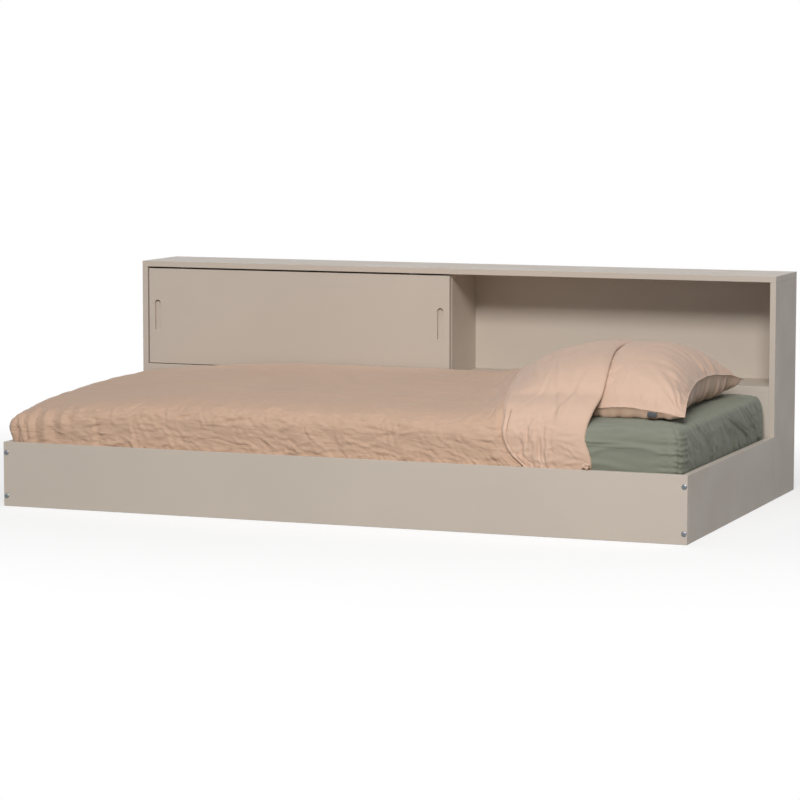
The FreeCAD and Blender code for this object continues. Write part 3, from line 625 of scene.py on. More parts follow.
def odd_places(stretches):
    """Places for a finer grid from stretches of (first, last, step), an odd count in all."""
    parts = [np.arange(first, last, step) for first, last, step in stretches]
    places = np.concatenate(parts + [[stretches[-1][1]]])
    if len(places) % 2 == 0:
        places = np.delete(places, -2)
    return places


def closed_tube(name, line, radius, sides):
    """A closed tube round a closed line."""
    count = len(line)
    way = np.roll(line, -1, axis=0) - np.roll(line, 1, axis=0)
    way /= np.linalg.norm(way, axis=1, keepdims=True)
    out = np.cross(way, (0.0, 1.0, 0.0))
    out /= np.linalg.norm(out, axis=1, keepdims=True)
    up = np.cross(way, out)
    angle = np.linspace(0, 2 * math.pi, sides, endpoint=False)
    ring = out[:, None] * np.cos(angle)[None, :, None] + up[:, None] * np.sin(angle)[None, :, None]
    points = line[:, None] + radius * ring
    i, j = np.meshgrid(np.arange(count), np.arange(sides), indexing="ij")
    after, beside = (i + 1) % count, (j + 1) % sides
    faces = np.stack([i * sides + j, after * sides + j, after * sides + beside, i * sides + beside], axis=2)
    maps = np.stack([i * radius, j * radius], axis=2)
    return mesh_piece(name, points.reshape(-1, 3), faces.reshape(-1, 4).tolist(), maps.reshape(-1, 2))


# Repeats and stitches

class RepeatTree(Tree):
    """A Geometry Nodes tree with one geometry input, named sizes and one result."""

    def __init__(self, name, sizes):
        super().__init__(bpy.data.node_groups.new(name, "GeometryNodeTree"))
        face = self.tree.interface
        face.new_socket("Places", in_out="INPUT", socket_type="NodeSocketGeometry")
        self.sockets = {}
        for label, value in sizes.items():
            socket = face.new_socket(label, in_out="INPUT", socket_type="NodeSocketFloat")
            set_all(socket, subtype="DISTANCE", default_value=value)
            self.sockets[label] = socket.identifier
        face.new_socket("Pieces", in_out="OUTPUT", socket_type="NodeSocketGeometry")
        self.given = self.add("NodeGroupInput").outputs
        self.result = self.add("NodeGroupOutput")

    def finish(self, geometry, material):
        """Realizes the instances, gives them their finish and ends the tree."""
        real = self.made("GeometryNodeRealizeInstances", {"Geometry": geometry})
        smooth = self.made("GeometryNodeSetShadeSmooth", {"Geometry": real})
        done = self.made("GeometryNodeSetMaterial", {"Geometry": smooth, "Material": material})
        self.feed(self.result.inputs["Pieces"], done)

    def grown(self, piece, values=None):
        """The piece with the tree's result as its plain mesh."""
        nodes = piece.modifiers.new("repeat", "NODES")
        nodes.node_group = self.tree
        for label, value in (values or {}).items():
            nodes[self.sockets[label]] = value
        return plain_mesh(piece)


def stitch_tree(material):
    """Stitches along lines: small rounded lengths of thread, laid end to end with gaps."""
    t = RepeatTree("seam_stitches", {"Pitch": 0.0042, "Stitch length": 0.0030, "Thread": 0.0007})
    curve = t.made("GeometryNodeMeshToCurve", {"Mesh": t.given["Places"]})
    spaced = t.made("GeometryNodeResampleCurve", {"Curve": curve, "Length": t.given["Pitch"]}, mode="LENGTH")
    thread = t.made("GeometryNodeMeshUVSphere", {"Segments": 6, "Rings": 4, "Radius": 0.5})
    shape = t.vector(t.given["Stitch length"], t.given["Thread"], t.given["Thread"])
    one = t.made("GeometryNodeTransform", {"Geometry": thread, "Scale": shape})
    way = t.made("GeometryNodeInputTangent")
    turn = t.made("FunctionNodeAlignRotationToVector", {"Vector": way}, axis="X")
    uneven = t.add("FunctionNodeRandomValue", {2: 0.86, 3: 1.08, "Seed": 7}, data_type="FLOAT").outputs[1]
    laid = t.made("GeometryNodeInstanceOnPoints", {
        "Points": spaced, "Instance": one, "Rotation": turn, "Scale": uneven})
    t.finish(laid, material)
    return t


def sewn_line(name, lines, material):
    """A piece of stitches along lines on the cloth."""
    points, edges = [], []
    for line in lines:
        first = len(points)
        points += [tuple(p) for p in line]
        edges += [(first + k, first + k + 1) for k in range(len(line) - 1)]
    piece = bare_piece(name, points, edges)
    stitch_tree(material).grown(piece)
    ride(piece)
    return piece


def bolt_tree(material):
    """Connector bolts: a low dome with a six-sided socket, and the shank behind it."""
    t = RepeatTree("connector_bolts", {
        "Head radius": 0.0078, "Head height": 0.0026, "Socket": 0.0023, "Socket depth": 0.0018,
        "Shank radius": 0.003, "Reach": 0.06})
    radius, height, reach = (t.given[label] for label in ("Head radius", "Head height", "Reach"))
    ball = t.made("GeometryNodeMeshUVSphere", {"Segments": 48, "Rings": 24, "Radius": 1.0})
    low = t.made("GeometryNodeTransform", {"Geometry": ball, "Scale": t.vector(radius, radius, height)})
    parts = t.add("ShaderNodeSeparateXYZ", {0: t.made("GeometryNodeInputPosition")}).outputs
    seated = t.vector(parts[0], parts[1], t.maths("MAXIMUM", parts[2], 0.0))
    dome = t.made("GeometryNodeSetPosition", {"Geometry": low, "Position": seated})
    tall = 0.004
    hollow = t.made("GeometryNodeMeshCylinder", {"Vertices": 6, "Radius": t.given["Socket"], "Depth": tall})
    floor = t.maths("SUBTRACT", height, t.given["Socket depth"])
    lift = t.vector(z=t.maths("ADD", floor, tall / 2))
    hollow = t.made("GeometryNodeTransform", {"Geometry": hollow, "Translation": lift})
    head = t.made("GeometryNodeMeshBoolean", {"Mesh 1": dome, "Mesh 2": hollow}, operation="DIFFERENCE")
    shank = t.made("GeometryNodeMeshCylinder", {
        "Vertices": 24, "Radius": t.given["Shank radius"], "Depth": reach})
    drop = t.vector(z=t.maths("MULTIPLY", reach, -0.5))
    shank = t.made("GeometryNodeTransform", {"Geometry": shank, "Translation": drop})
    both = t.add("GeometryNodeJoinGeometry")
    t.feed(both.inputs[0], shank)
    t.feed(both.inputs[0], head)
    spin = t.add("FunctionNodeRandomValue", {2: 0.0, 3: math.pi / 3, "Seed": 3}, data_type="FLOAT").outputs[1]
    outward = t.made("FunctionNodeEulerToRotation", {0: t.vector(x=math.pi / 2)})
    own = t.made("FunctionNodeEulerToRotation", {0: t.vector(z=spin)})
    full = t.made(
        "FunctionNodeRotateRotation", {"Rotation": outward, "Rotate By": own}, rotation_space="LOCAL")
    set_in = t.made("GeometryNodeInstanceOnPoints", {
        "Points": t.given["Places"], "Instance": both.outputs[0], "Rotation": full})
    t.finish(set_in, material)
    return t


def grid_piece(name, grid):
    """A mesh object from a grid."""
    across, along, _ = grid.shape
    return mesh_piece(name, grid.reshape(-1, 3), grid_faces(across, along), grid_map(grid).reshape(-1, 2))


def vertex_places(piece):
    """Places of a mesh's points."""
    places = np.zeros(len(piece.data.vertices) * 3, np.float32)
    piece.data.vertices.foreach_get("co", places)
    return places.reshape(-1, 3).astype(float)


def set_vertex_places(piece, places):
    """Moves a mesh's points."""
    piece.data.vertices.foreach_set("co", np.asarray(places, np.float32).ravel())
    piece.data.update()


def plain_mesh(piece):
    """Applies every modifier of a piece."""
    bpy.context.view_layer.update()
    mesh = bpy.data.meshes.new_from_object(piece.evaluated_get(bpy.context.evaluated_depsgraph_get()))
    piece.modifiers.clear()
    old = piece.data
    piece.data = mesh
    mesh.name = piece.name
    bpy.data.meshes.remove(old)
    return piece


def solidified(piece, thickness):
    """Gives a skin its thickness, inwards, and makes it plain mesh."""
    shell = piece.modifiers.new("thickness", "SOLIDIFY")
    set_all(shell, thickness=thickness, offset=-1, use_even_offset=False)
    return plain_mesh(piece)


# Cloth

def add_group(piece, name, weights):
    """A vertex group from an array of weights."""
    group = piece.vertex_groups.new(name=name)
    levels = np.round(np.clip(weights, 0, 1) * 40).astype(int)
    for level in np.unique(levels):
        if level:
            group.add(np.flatnonzero(levels == level).tolist(), level / 40, "REPLACE")
    return name


def settle_cloth(piece, body, held, spare_share, spare, cap, pressure=0.0, bending=0.15, seed=1):
    """Lets cloth that is cut larger than its place settle over a body, and keeps the result.

    held is 1 where a point stays, spare_share says where the cloth has its spare length, and
    cap is how far a point may move. Its points start with a small shiver of their own.
    """
    shiver = 0.0006
    scene = bpy.context.scene
    frames = scene.daybed_sizes.settle_frames
    rest = vertex_places(piece)
    rng = np.random.default_rng(seed)
    start = rest + rng.normal(0, shiver, rest.shape) * (1 - held)[:, None]
    set_vertex_places(piece, start)
    pins = add_group(piece, "held", held)
    loose = add_group(piece, "loose", 1 - spare_share)
    cloth = piece.modifiers.new("cloth", "CLOTH")
    s = cloth.settings
    set_all(s, quality=6, mass=0.25, air_damping=2.0, pin_stiffness=1, bending_stiffness=bending)
    set_all(s, tension_stiffness=14, compression_stiffness=14, shear_stiffness=5)
    set_all(s, vertex_group_mass=pins, vertex_group_shrink=loose, shrink_min=-spare, shrink_max=0.0)
    s.effector_weights.gravity = 0
    if pressure:
        set_all(s, use_pressure=True, uniform_pressure_force=pressure)
    set_all(cloth.collision_settings, use_collision=body is not None, use_self_collision=False,
            distance_min=0.0015, collision_quality=3)
    if body is not None:
        wall = body.modifiers.new("wall", "COLLISION")
        set_all(body.collision, thickness_outer=0.001, thickness_inner=0.01)
    set_all(cloth.point_cache, frame_start=1, frame_end=frames)
    for step in range(1, frames + 1):
        scene.frame_set(step)
    shown = piece.evaluated_get(bpy.context.evaluated_depsgraph_get())
    places = np.zeros(len(rest) * 3, np.float32)
    shown.data.vertices.foreach_get("co", places)
    moved = places.reshape(-1, 3) - rest
    far = np.maximum(np.linalg.norm(moved, axis=1, keepdims=True), 1e-9)
    moved = moved / far * (cap * np.tanh(far / cap))
    piece.modifiers.remove(cloth)
    piece.vertex_groups.clear()
    if body is not None:
        body.modifiers.remove(wall)
    scene.frame_set(1)
    set_vertex_places(piece, rest + moved)
    print(piece.name, "settled, mean move", round(float(far.mean()) * 1000, 2), "mm")


def remove_piece(piece):
    """Takes away a helper object and its mesh."""
    mesh = piece.data
    bpy.data.objects.remove(piece)
    bpy.data.meshes.remove(mesh)


def join_pieces(first, others):
    """One object from several."""
    bpy.ops.object.select_all(action="DESELECT")
    for piece in [first] + others:
        piece.select_set(True)
    bpy.context.view_layer.objects.active = first
    bpy.ops.object.join()
    return first


def ride(piece, body="frame"):
    """The finished piece moves with a body."""
    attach(piece, body)
    return piece


def finish_nodes(names, material):
    """Gives carried-over nodes their finish."""
    for name in names:
        for face_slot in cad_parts[name].material_slots:
            face_slot.material = material


# Places taken from the fixed frame

board_low, board_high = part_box("front_board")
sheet_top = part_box("fitted_sheet")[1].z
duvet_left, duvet_front, tuck_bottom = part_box("duvet")[0]

# Stations of the duvet from its tucked front to the rear. y, then the heights of the flat stretch,
# the left end, the cuff's foot and the fold, then the places of the lip and of the hem along x
DUVET_STATIONS = (
    (-0.5700, 0.162, 0.162, 0.162, 0.162, 0.748, 0.568),
    (-0.5705, 0.190, 0.178, 0.190, 0.190, 0.753, 0.542),
    (-0.5710, 0.211, 0.194, 0.211, 0.211, 0.755, 0.516),
    (-0.5714, 0.232, 0.208, 0.232, 0.232, 0.752, 0.503),
    (-0.5717, 0.251, 0.220, 0.250, 0.250, 0.745, 0.497),
    (-0.5717, 0.268, 0.231, 0.268, 0.268, 0.738, 0.493),
    (-0.5680, 0.282, 0.241, 0.283, 0.284, 0.737, 0.492),
    (-0.5620, 0.291, 0.248, 0.296, 0.299, 0.738, 0.492),
    (-0.5530, 0.300, 0.255, 0.312, 0.318, 0.741, 0.4915),
    (-0.5380, 0.309, 0.262, 0.327, 0.335, 0.744, 0.4875),
    (-0.5153, 0.317, 0.269, 0.341, 0.353, 0.746, 0.481),
    (-0.4810, 0.324, 0.275, 0.350, 0.369, 0.747, 0.472),
    (-0.4490, 0.328, 0.281, 0.355, 0.384, 0.747, 0.4635),
    (-0.4200, 0.330, 0.285, 0.360, 0.416, 0.748, 0.4555),
    (-0.3700, 0.332, 0.291, 0.364, 0.450, 0.742, 0.442),
    (-0.3000, 0.335, 0.297, 0.369, 0.473, 0.729, 0.423),
    (-0.1800, 0.341, 0.303, 0.372, 0.488, 0.705, 0.3905),
    (-0.0500, 0.346, 0.308, 0.374, 0.492, 0.690, 0.3555),
    (0.0800, 0.351, 0.312, 0.375, 0.485, 0.686, 0.3205),
    (0.1890, 0.355, 0.315, 0.373, 0.454, 0.680, 0.291),
    (0.2470, 0.356, 0.316, 0.370, 0.416, 0.676, 0.275),
    (0.2925, 0.356, 0.314, 0.366, 0.381, 0.672, 0.263),
    (0.3300, 0.353, 0.309, 0.360, 0.366, 0.669, 0.253),
    (0.3370, 0.345, 0.301, 0.350, 0.354, 0.668, 0.251),
)

# How far the left end's turn and its slope reach along x, where the curve over the pillow starts
# behind the hem and ends before the lip, and how full it is along x and z
turn_reach = 0.06
slope_reach = 0.5
cuff_run = 0.0055
lip_run = 0.03
bow_shares = np.array([0.44, 0.68])

# Upright folds of the duvet beside its tucked corner: x and z at the top and at the foot, width, height
DUVET_CORNER_FOLDS = (
    (-0.990, 0.262, -0.956, 0.168, 0.011, 0.0060),
    (-0.958, 0.292, -0.946, 0.168, 0.013, 0.0078),
    (-0.905, 0.306, -0.897, 0.190, 0.017, 0.0068),
    (-0.850, 0.306, -0.842, 0.220, 0.014, 0.0050),
    (-0.752, 0.292, -0.742, 0.168, 0.010, 0.0036),
    (-0.628, 0.255, -0.612, 0.166, 0.008, 0.0036),
)

# Pulls in the sheet on the head end: y and z at the top and at the foot, width, height
SHEET_END_FOLDS = (
    (-0.078, 0.290, 0.120, 0.222, 0.013, 0.0085),
    (-0.084, 0.286, 0.055, 0.190, 0.010, 0.0062),
    (-0.352, 0.288, -0.232, 0.205, 0.012, 0.0048),
    (0.098, 0.262, 0.158, 0.180, 0.011, 0.0070),
    (0.118, 0.290, 0.200, 0.236, 0.011, 0.0062),
    (0.210, 0.270, 0.250, 0.200, 0.012, 0.0044),
    (-0.020, 0.240, 0.030, 0.180, 0.009, 0.0040),
)

# Crease lines of the sheet: height, whether they stay on the sides, seed, count, area along the
# outline and up the profile, angle, its spread, lengths and widths
SHEET_CREASES = (
    (0.0056, True, 71, 34, (0.05, 0.86, 0.1, 0.27), 2.15, 0.32, (0.018, 0.06), (0.0045, 0.010)),
    (0.0024, True, 72, 70, (0.03, 0.9, 0.1, 0.28), 2.3, 0.5, (0.01, 0.03), (0.003, 0.006)),
    (0.0022, True, 73, 26, (-0.55, -0.03, 0.1, 0.27), 0.04, 0.14, (0.04, 0.14), (0.005, 0.010)),
    (0.0040, True, 74, 4, (-0.45, -0.1, 0.17, 0.19), 0.02, 0.03, (0.12, 0.2), (0.006, 0.008)),
    (0.0014, False, 75, 46, (-0.5, 0.95, 0.28, 0.6), 1.35, 0.5, (0.02, 0.08), (0.005, 0.012)),
)


# The duvet's form

def duvet_rows(cell):
    """Rows of the duvet from its tucked front to its rear edge, evenly spaced along its surface."""
    line = smooth_line(DUVET_STATIONS, 900)
    gaps = [np.linalg.norm(np.diff(line[:, [0, k]], axis=0), axis=1) for k in (1, 4)]
    gap = gaps[0] + gaps[1]
    along = np.concatenate([[0], np.cumsum(gap)])
    places = np.linspace(0, along[-1], int(along[-1] / 2 / cell))
    return np.stack([np.interp(places, along, line[:, k]) for k in range(7)], axis=1)


def crease_place(row):
    """Where the flat stretch of a row ends and its rise to the cuff starts."""
    return row[6] - 0.055 - 0.03 * ease(-0.4, 0.3, row[0])


def station_place(y, column, first=5):
    """The value of one of the stations' columns at depths y, from a first station on."""
    table = np.array(DUVET_STATIONS)[first:]
    return np.interp(y, table[:, 0], table[:, column])


def hem_place(y):
    """Where the hem lies along x."""
    return station_place(y, 6, 0)


def section_at(line, y):
    """A line in x and z as places in the section at one depth."""
    return np.stack([line[:, 0], np.full(len(line), y), line[:, 1]], axis=1)


def curve_over_pillow(first, last, count):
    """A quadratic curve in the section, from the cuff's foot over the pillow."""
    middle = first + (last - first) * bow_shares
    t = np.linspace(0, 1, count)[:, None]
    bow = 2 * middle - 0.5 * (first + last)
    return (1 - t) ** 2 * first + 2 * t * (1 - t) * bow + t**2 * last


def end_profile(end, start, count):
    """The left end from its tucked edge up to where the turn starts, as places in x and z."""
    low = tuck_bottom + (end - tuck_bottom) * 0.6
    points = [
        (duvet_left + 0.002, tuck_bottom), (duvet_left, (tuck_bottom + low) / 2), (duvet_left - 0.0120, low),
        (duvet_left - 0.0095, end - (end - low) * 0.42), (duvet_left + 0.008, end - (end - low) * 0.08),
        (duvet_left + 0.036, end + 0.002), (duvet_left + turn_reach, start),
    ]
    return smooth_line(points, count)


def duvet_base_grid(cell):
    """The duvet's lying part, from its tucked left end to under the cuff."""
    rows = duvet_rows(cell)
    turns = int(0.2 / cell)
    lying = int(1.2 / cell)
    columns = []
    for row in rows:
        y, flat, end, foot, crest, lip, cuff = row
        start = end + (flat - end) * 0.09
        crease = crease_place(row)
        xs = np.linspace(duvet_left + turn_reach, crease, lying)
        share = np.clip((xs - duvet_left - turn_reach) / slope_reach, 0, 1)
        zs = start + (flat - start) * (1 - (1 - share) ** 1.8)
        rise_x = np.linspace(crease, cuff, 12)
        rise = ease(crease - 0.004, cuff + 0.02, rise_x) / ease(crease - 0.004, cuff + 0.02, cuff)
        rise_z = flat + (foot - flat) * rise
        under = curve_over_pillow(np.array([cuff + cuff_run, foot]), np.array([lip - lip_run, crest]), 60)
        section = np.vstack([
            end_profile(end, start, turns), np.stack([xs, zs], axis=1)[1:],
            np.stack([rise_x, rise_z], axis=1)[1:], under[1:26]])
        columns.append(section_at(section, y))
    grid = np.stack(columns, axis=1)
    front = int(np.searchsorted(rows[:, 0], duvet_front + turn_reach, side="right"))
    return fold_corner(grid, turns, front)


def fold_corner(grid, turns, front):
    """Carries the cloth round the front left corner: level rings from the left end to the front."""
    left_line = grid[:turns, front]
    front_line = grid[turns - 1, : front + 1]
    centre = grid[turns - 1, front]
    i = np.arange(turns)[:, None]
    j = np.arange(front + 1)[None, :]
    out_x = (turns - 1 - i) / (turns - 1) + 0 * j
    out_y = (front - j) / front + 0 * i
    far = np.maximum(out_x, out_y)
    safe = np.maximum(far, 1e-9)
    turn = np.where(out_x >= out_y, out_y / safe * 0.5, 1 - out_x / safe * 0.5)
    angle = turn * math.pi / 2
    left_share = np.linspace(1, 0, turns)[::-1]
    front_share = np.linspace(1, 0, front + 1)[::-1]
    reach_x = np.interp(far, left_share, (centre[0] - left_line[:, 0])[::-1])
    reach_y = np.interp(far, front_share, (centre[1] - front_line[:, 1])[::-1])
    z_left = np.interp(far, left_share, left_line[::-1, 2])
    z_front = np.interp(far, front_share, front_line[::-1, 2])
    out = grid.copy()
    cos, sin = np.cos(angle), np.sin(angle)
    power = 3.0 + 5.0 * far
    square = (cos**power + sin**power) ** (-1 / power)
    out[:turns, : front + 1, 0] = centre[0] - reach_x * cos * square
    out[:turns, : front + 1, 1] = centre[1] - reach_y * sin * square
    out[:turns, : front + 1, 2] = z_left * (1 - turn) + z_front * turn
    return out


def duvet_cuff_grid(cell, thickness):
    """The folded-back end, from its free edge over the pillow to the lip."""
    columns = []
    for y, foot, crest, lip, cuff in duvet_rows(cell)[:, [0, 3, 4, 5, 6]]:
        lip_top = np.array([lip - lip_run, crest])
        over = curve_over_pillow(np.array([cuff + cuff_run, foot + thickness]), lip_top, 56)
        xs = np.linspace(lip_top[0], lip - 0.007, 6)
        fall = np.stack([xs, crest - 0.004 * np.linspace(0, 1, 6) ** 2], axis=1)
        columns.append(section_at(np.vstack([over, fall[1:]]), y))
    return np.stack(columns, axis=1)


def duvet_height(x, y):
    """Height of the folded-back end's top face at places of the plan."""
    flat, foot, crest, lip, cuff = (station_place(y, column) for column in (1, 3, 4, 5, 6))
    x0, x2 = cuff + cuff_run, lip - lip_run
    z0 = foot + 0.009
    middle_x, middle_z = x0 + (x2 - x0) * bow_shares[0], z0 + (crest - z0) * bow_shares[1]
    bow_x, bow_z = 2 * middle_x - (x0 + x2) / 2, 2 * middle_z - (z0 + crest) / 2
    a, b, c = x0 - 2 * bow_x + x2, 2 * (bow_x - x0), x0 - np.clip(x, x0, x2)
    a = np.where(np.abs(a) < 1e-6, 1e-6, a)
    t = np.clip((-b + np.sqrt(np.maximum(b * b - 4 * a * c, 0))) / (2 * a), 0, 1)
    z = (1 - t) ** 2 * z0 + 2 * t * (1 - t) * bow_z + t**2 * crest
    lying = flat + (foot - flat) * ease(cuff - 0.08, cuff, x)
    return np.where(x < cuff, lying, z)


# The pillow's size, and its seams, from the front to the rear or from left to right
PILLOW_ACROSS = 0.58
PILLOW_ALONG = 0.69
PILLOW_RIGHT_SEAM = (
    (0.984, -0.4585, 0.326), (0.970, -0.362, 0.366), (0.956, -0.250, 0.389), (0.944, -0.125, 0.397),
    (0.941, 0.0, 0.397), (0.945, 0.100, 0.389), (0.952, 0.170, 0.380), (0.970, 0.229, 0.361),
)
PILLOW_LEFT_SEAM = (
    (0.485, -0.456, 0.329), (0.458, -0.37, 0.350), (0.433, -0.27, 0.362), (0.415, -0.15, 0.368),
    (0.400, -0.03, 0.368), (0.387, 0.08, 0.364), (0.378, 0.16, 0.358), (0.369, 0.229, 0.354),
)
PILLOW_FRONT_SEAM = (
    (0.485, -0.456, 0.329), (0.56, -0.454, 0.334), (0.66, -0.453, 0.339), (0.73, -0.453, 0.3425),
    (0.793, -0.4525, 0.348), (0.856, -0.4525, 0.3425), (0.906, -0.4535, 0.3365), (0.945, -0.455, 0.3275),
    (0.965, -0.457, 0.3245), (0.984, -0.4585, 0.326),
)
PILLOW_REAR_SEAM = (
    (0.369, 0.229, 0.354), (0.50, 0.225, 0.360), (0.66, 0.222, 0.364), (0.80, 0.223, 0.368),
    (0.90, 0.226, 0.369), (0.970, 0.229, 0.361),
)

# The pillow's crown: places from its front to its rear and its height there, both as shares
PILLOW_CROWN = np.array((
    (0.0, 0.13), (0.04, 0.42), (0.13, 0.68), (0.28, 0.88), (0.45, 0.98), (0.62, 1.0), (0.78, 0.93),
    (0.9, 0.76), (0.97, 0.53), (1.0, 0.32),
))


# Rings round the mattress

def outline_places(low, high, radius, fine, coarse, turns):
    """Places round the outline of a box with rounded corners: (kind, a, b, s).

    Kind 0 and 2 are straight stretches, where a and b are shares of the half length and half
    width inside the corners, and kind 1 is a corner, where a is its number and b the angle. s is
    the distance from the front corner at the head end, which is positive along the head end and
    negative along the front.
    """
    width, length = high.y - low.y - 2 * radius, high.x - low.x - 2 * radius
    quarter = radius * math.pi / 2
    places = []
    spots = (0.0, width, width + length, -length)
    near = 0.62
    far = length - near
    for corner, start in enumerate(spots):
        for k in range(turns + 1):
            share = k / turns
            places.append((1, corner, 90.0 * corner - 90.0 + 90.0 * share, start + (share - 0.5) * quarter))
        if corner == 0:
            count = int(width / fine)
            places += [(0, 1, -1 + 2 * k / count, k / count * width) for k in range(1, count)]
        elif corner == 1:
            count = int(length / coarse)
            places += [(2, 1 - 2 * k / count, 1, width + k / count * length) for k in range(1, count)]
        elif corner == 2:
            count = int(width / coarse)
            places += [(0, -1, 1 - 2 * k / count, start + k / count * width) for k in range(1, count)]
        else:
            count = int(far / coarse)
            runs = [k / count * far for k in range(1, count + 1)]
            places += [(2, -1 + 2 * run / length, -1, -length + run) for run in runs]
            count = int(near / fine)
            left = [1 - k / count for k in range(1, count)]
            places += [(2, 1 - 2 * near * share / length, -1, -near * share) for share in left]
    return places


def ring_grid(low, high, radius, line, places):
    """Points of rings round a mattress: each ring is drawn in and raised as the line says."""
    middle_y = (low.y + high.y) / 2
    half_x, half_y = (high.x - low.x) / 2, (high.y - low.y) / 2
    rows = []
    inset = line[:, 0]
    in_x, in_y = half_x - radius - inset, half_y - radius - inset
    for kind, a, b, _ in places:
        if kind == 1:
            sx, sy = ((1, -1), (1, 1), (-1, 1), (-1, -1))[a]
            angle = math.radians(b)
            x = sx * in_x + radius * math.cos(angle)
            y = sy * in_y + radius * math.sin(angle)
        elif kind == 0:
            x = a * (half_x - inset)
            y = b * in_y
        else:
            x = a * in_x
            y = b * (half_y - inset)
        rows.append(np.stack([x, middle_y + y, low.z + line[:, 1]], axis=1))
    return np.stack(rows)


def pressed(grid, low):
    """The foot end of the mattress or its sheet, pressed down by the tucked duvet."""
    x, y, z = grid[..., 0], grid[..., 1], grid[..., 2]
    depths = (-0.56, -0.52, -0.43, -0.32, -0.2, 0.0, 0.34)
    share = np.interp(y, depths, (0.29, 0.26, 0.20, 0.12, 0.09, 0.07, 0.05))
    share = share * fade(-0.95, -0.55, x)
    out = grid.copy()
    out[..., 2] = low.z + (z - low.z) * (1 - share)
    return out


def ring_normals(grid):
    """Outward direction at each point of closed rings."""
    wrapped = np.concatenate([grid[-1:], grid, grid[:1]])
    return grid_normals(wrapped)[1:-1]


def ring_piece(name, grid, close_bottom=True):
    """A mesh object from closed rings, with its last ring filled, and its first one if asked."""
    around, up, _ = grid.shape
    i, j = np.meshgrid(np.arange(around), np.arange(up - 1), indexing="ij")
    a = i * up + j
    b = (i + 1) % around * up + j
    faces = np.stack([a, b, b + 1, a + 1], axis=2).reshape(-1, 4).tolist()
    faces.append([k * up + up - 1 for k in range(around)])
    if close_bottom:
        faces.append([k * up for k in range(around)][::-1])
    s, t = run_along(grid[:, up // 3]), run_along(grid[0])
    maps = np.stack(np.broadcast_arrays(s[:, None], t[None, :]), axis=2).reshape(-1, 2)
    return mesh_piece(name, grid.reshape(-1, 3), faces, maps)


# Operators

# Lamps: name, place, aim, width and height, power and colour
LAMPS = (
    ("key lamp", (2.70, -7.60, 5.35), (0.5, 0.4, 0.5), (3.4, 2.0), 705, (1.0, 0.985, 0.96)),
    ("top lamp", (0.0, -0.3, 4.9), (0.0, -0.2, 0.0), (3.6, 2.8), 52, (0.94, 0.98, 1.06)),
    ("left lamp", (-5.2, -5.0, 2.2), (-0.6, 0.0, 0.3), (3.0, 2.4), 22, (1.0, 0.99, 0.97)),
)
WHITE = (1, 1, 1, 1)
BLACK = (0, 0, 0, 1)


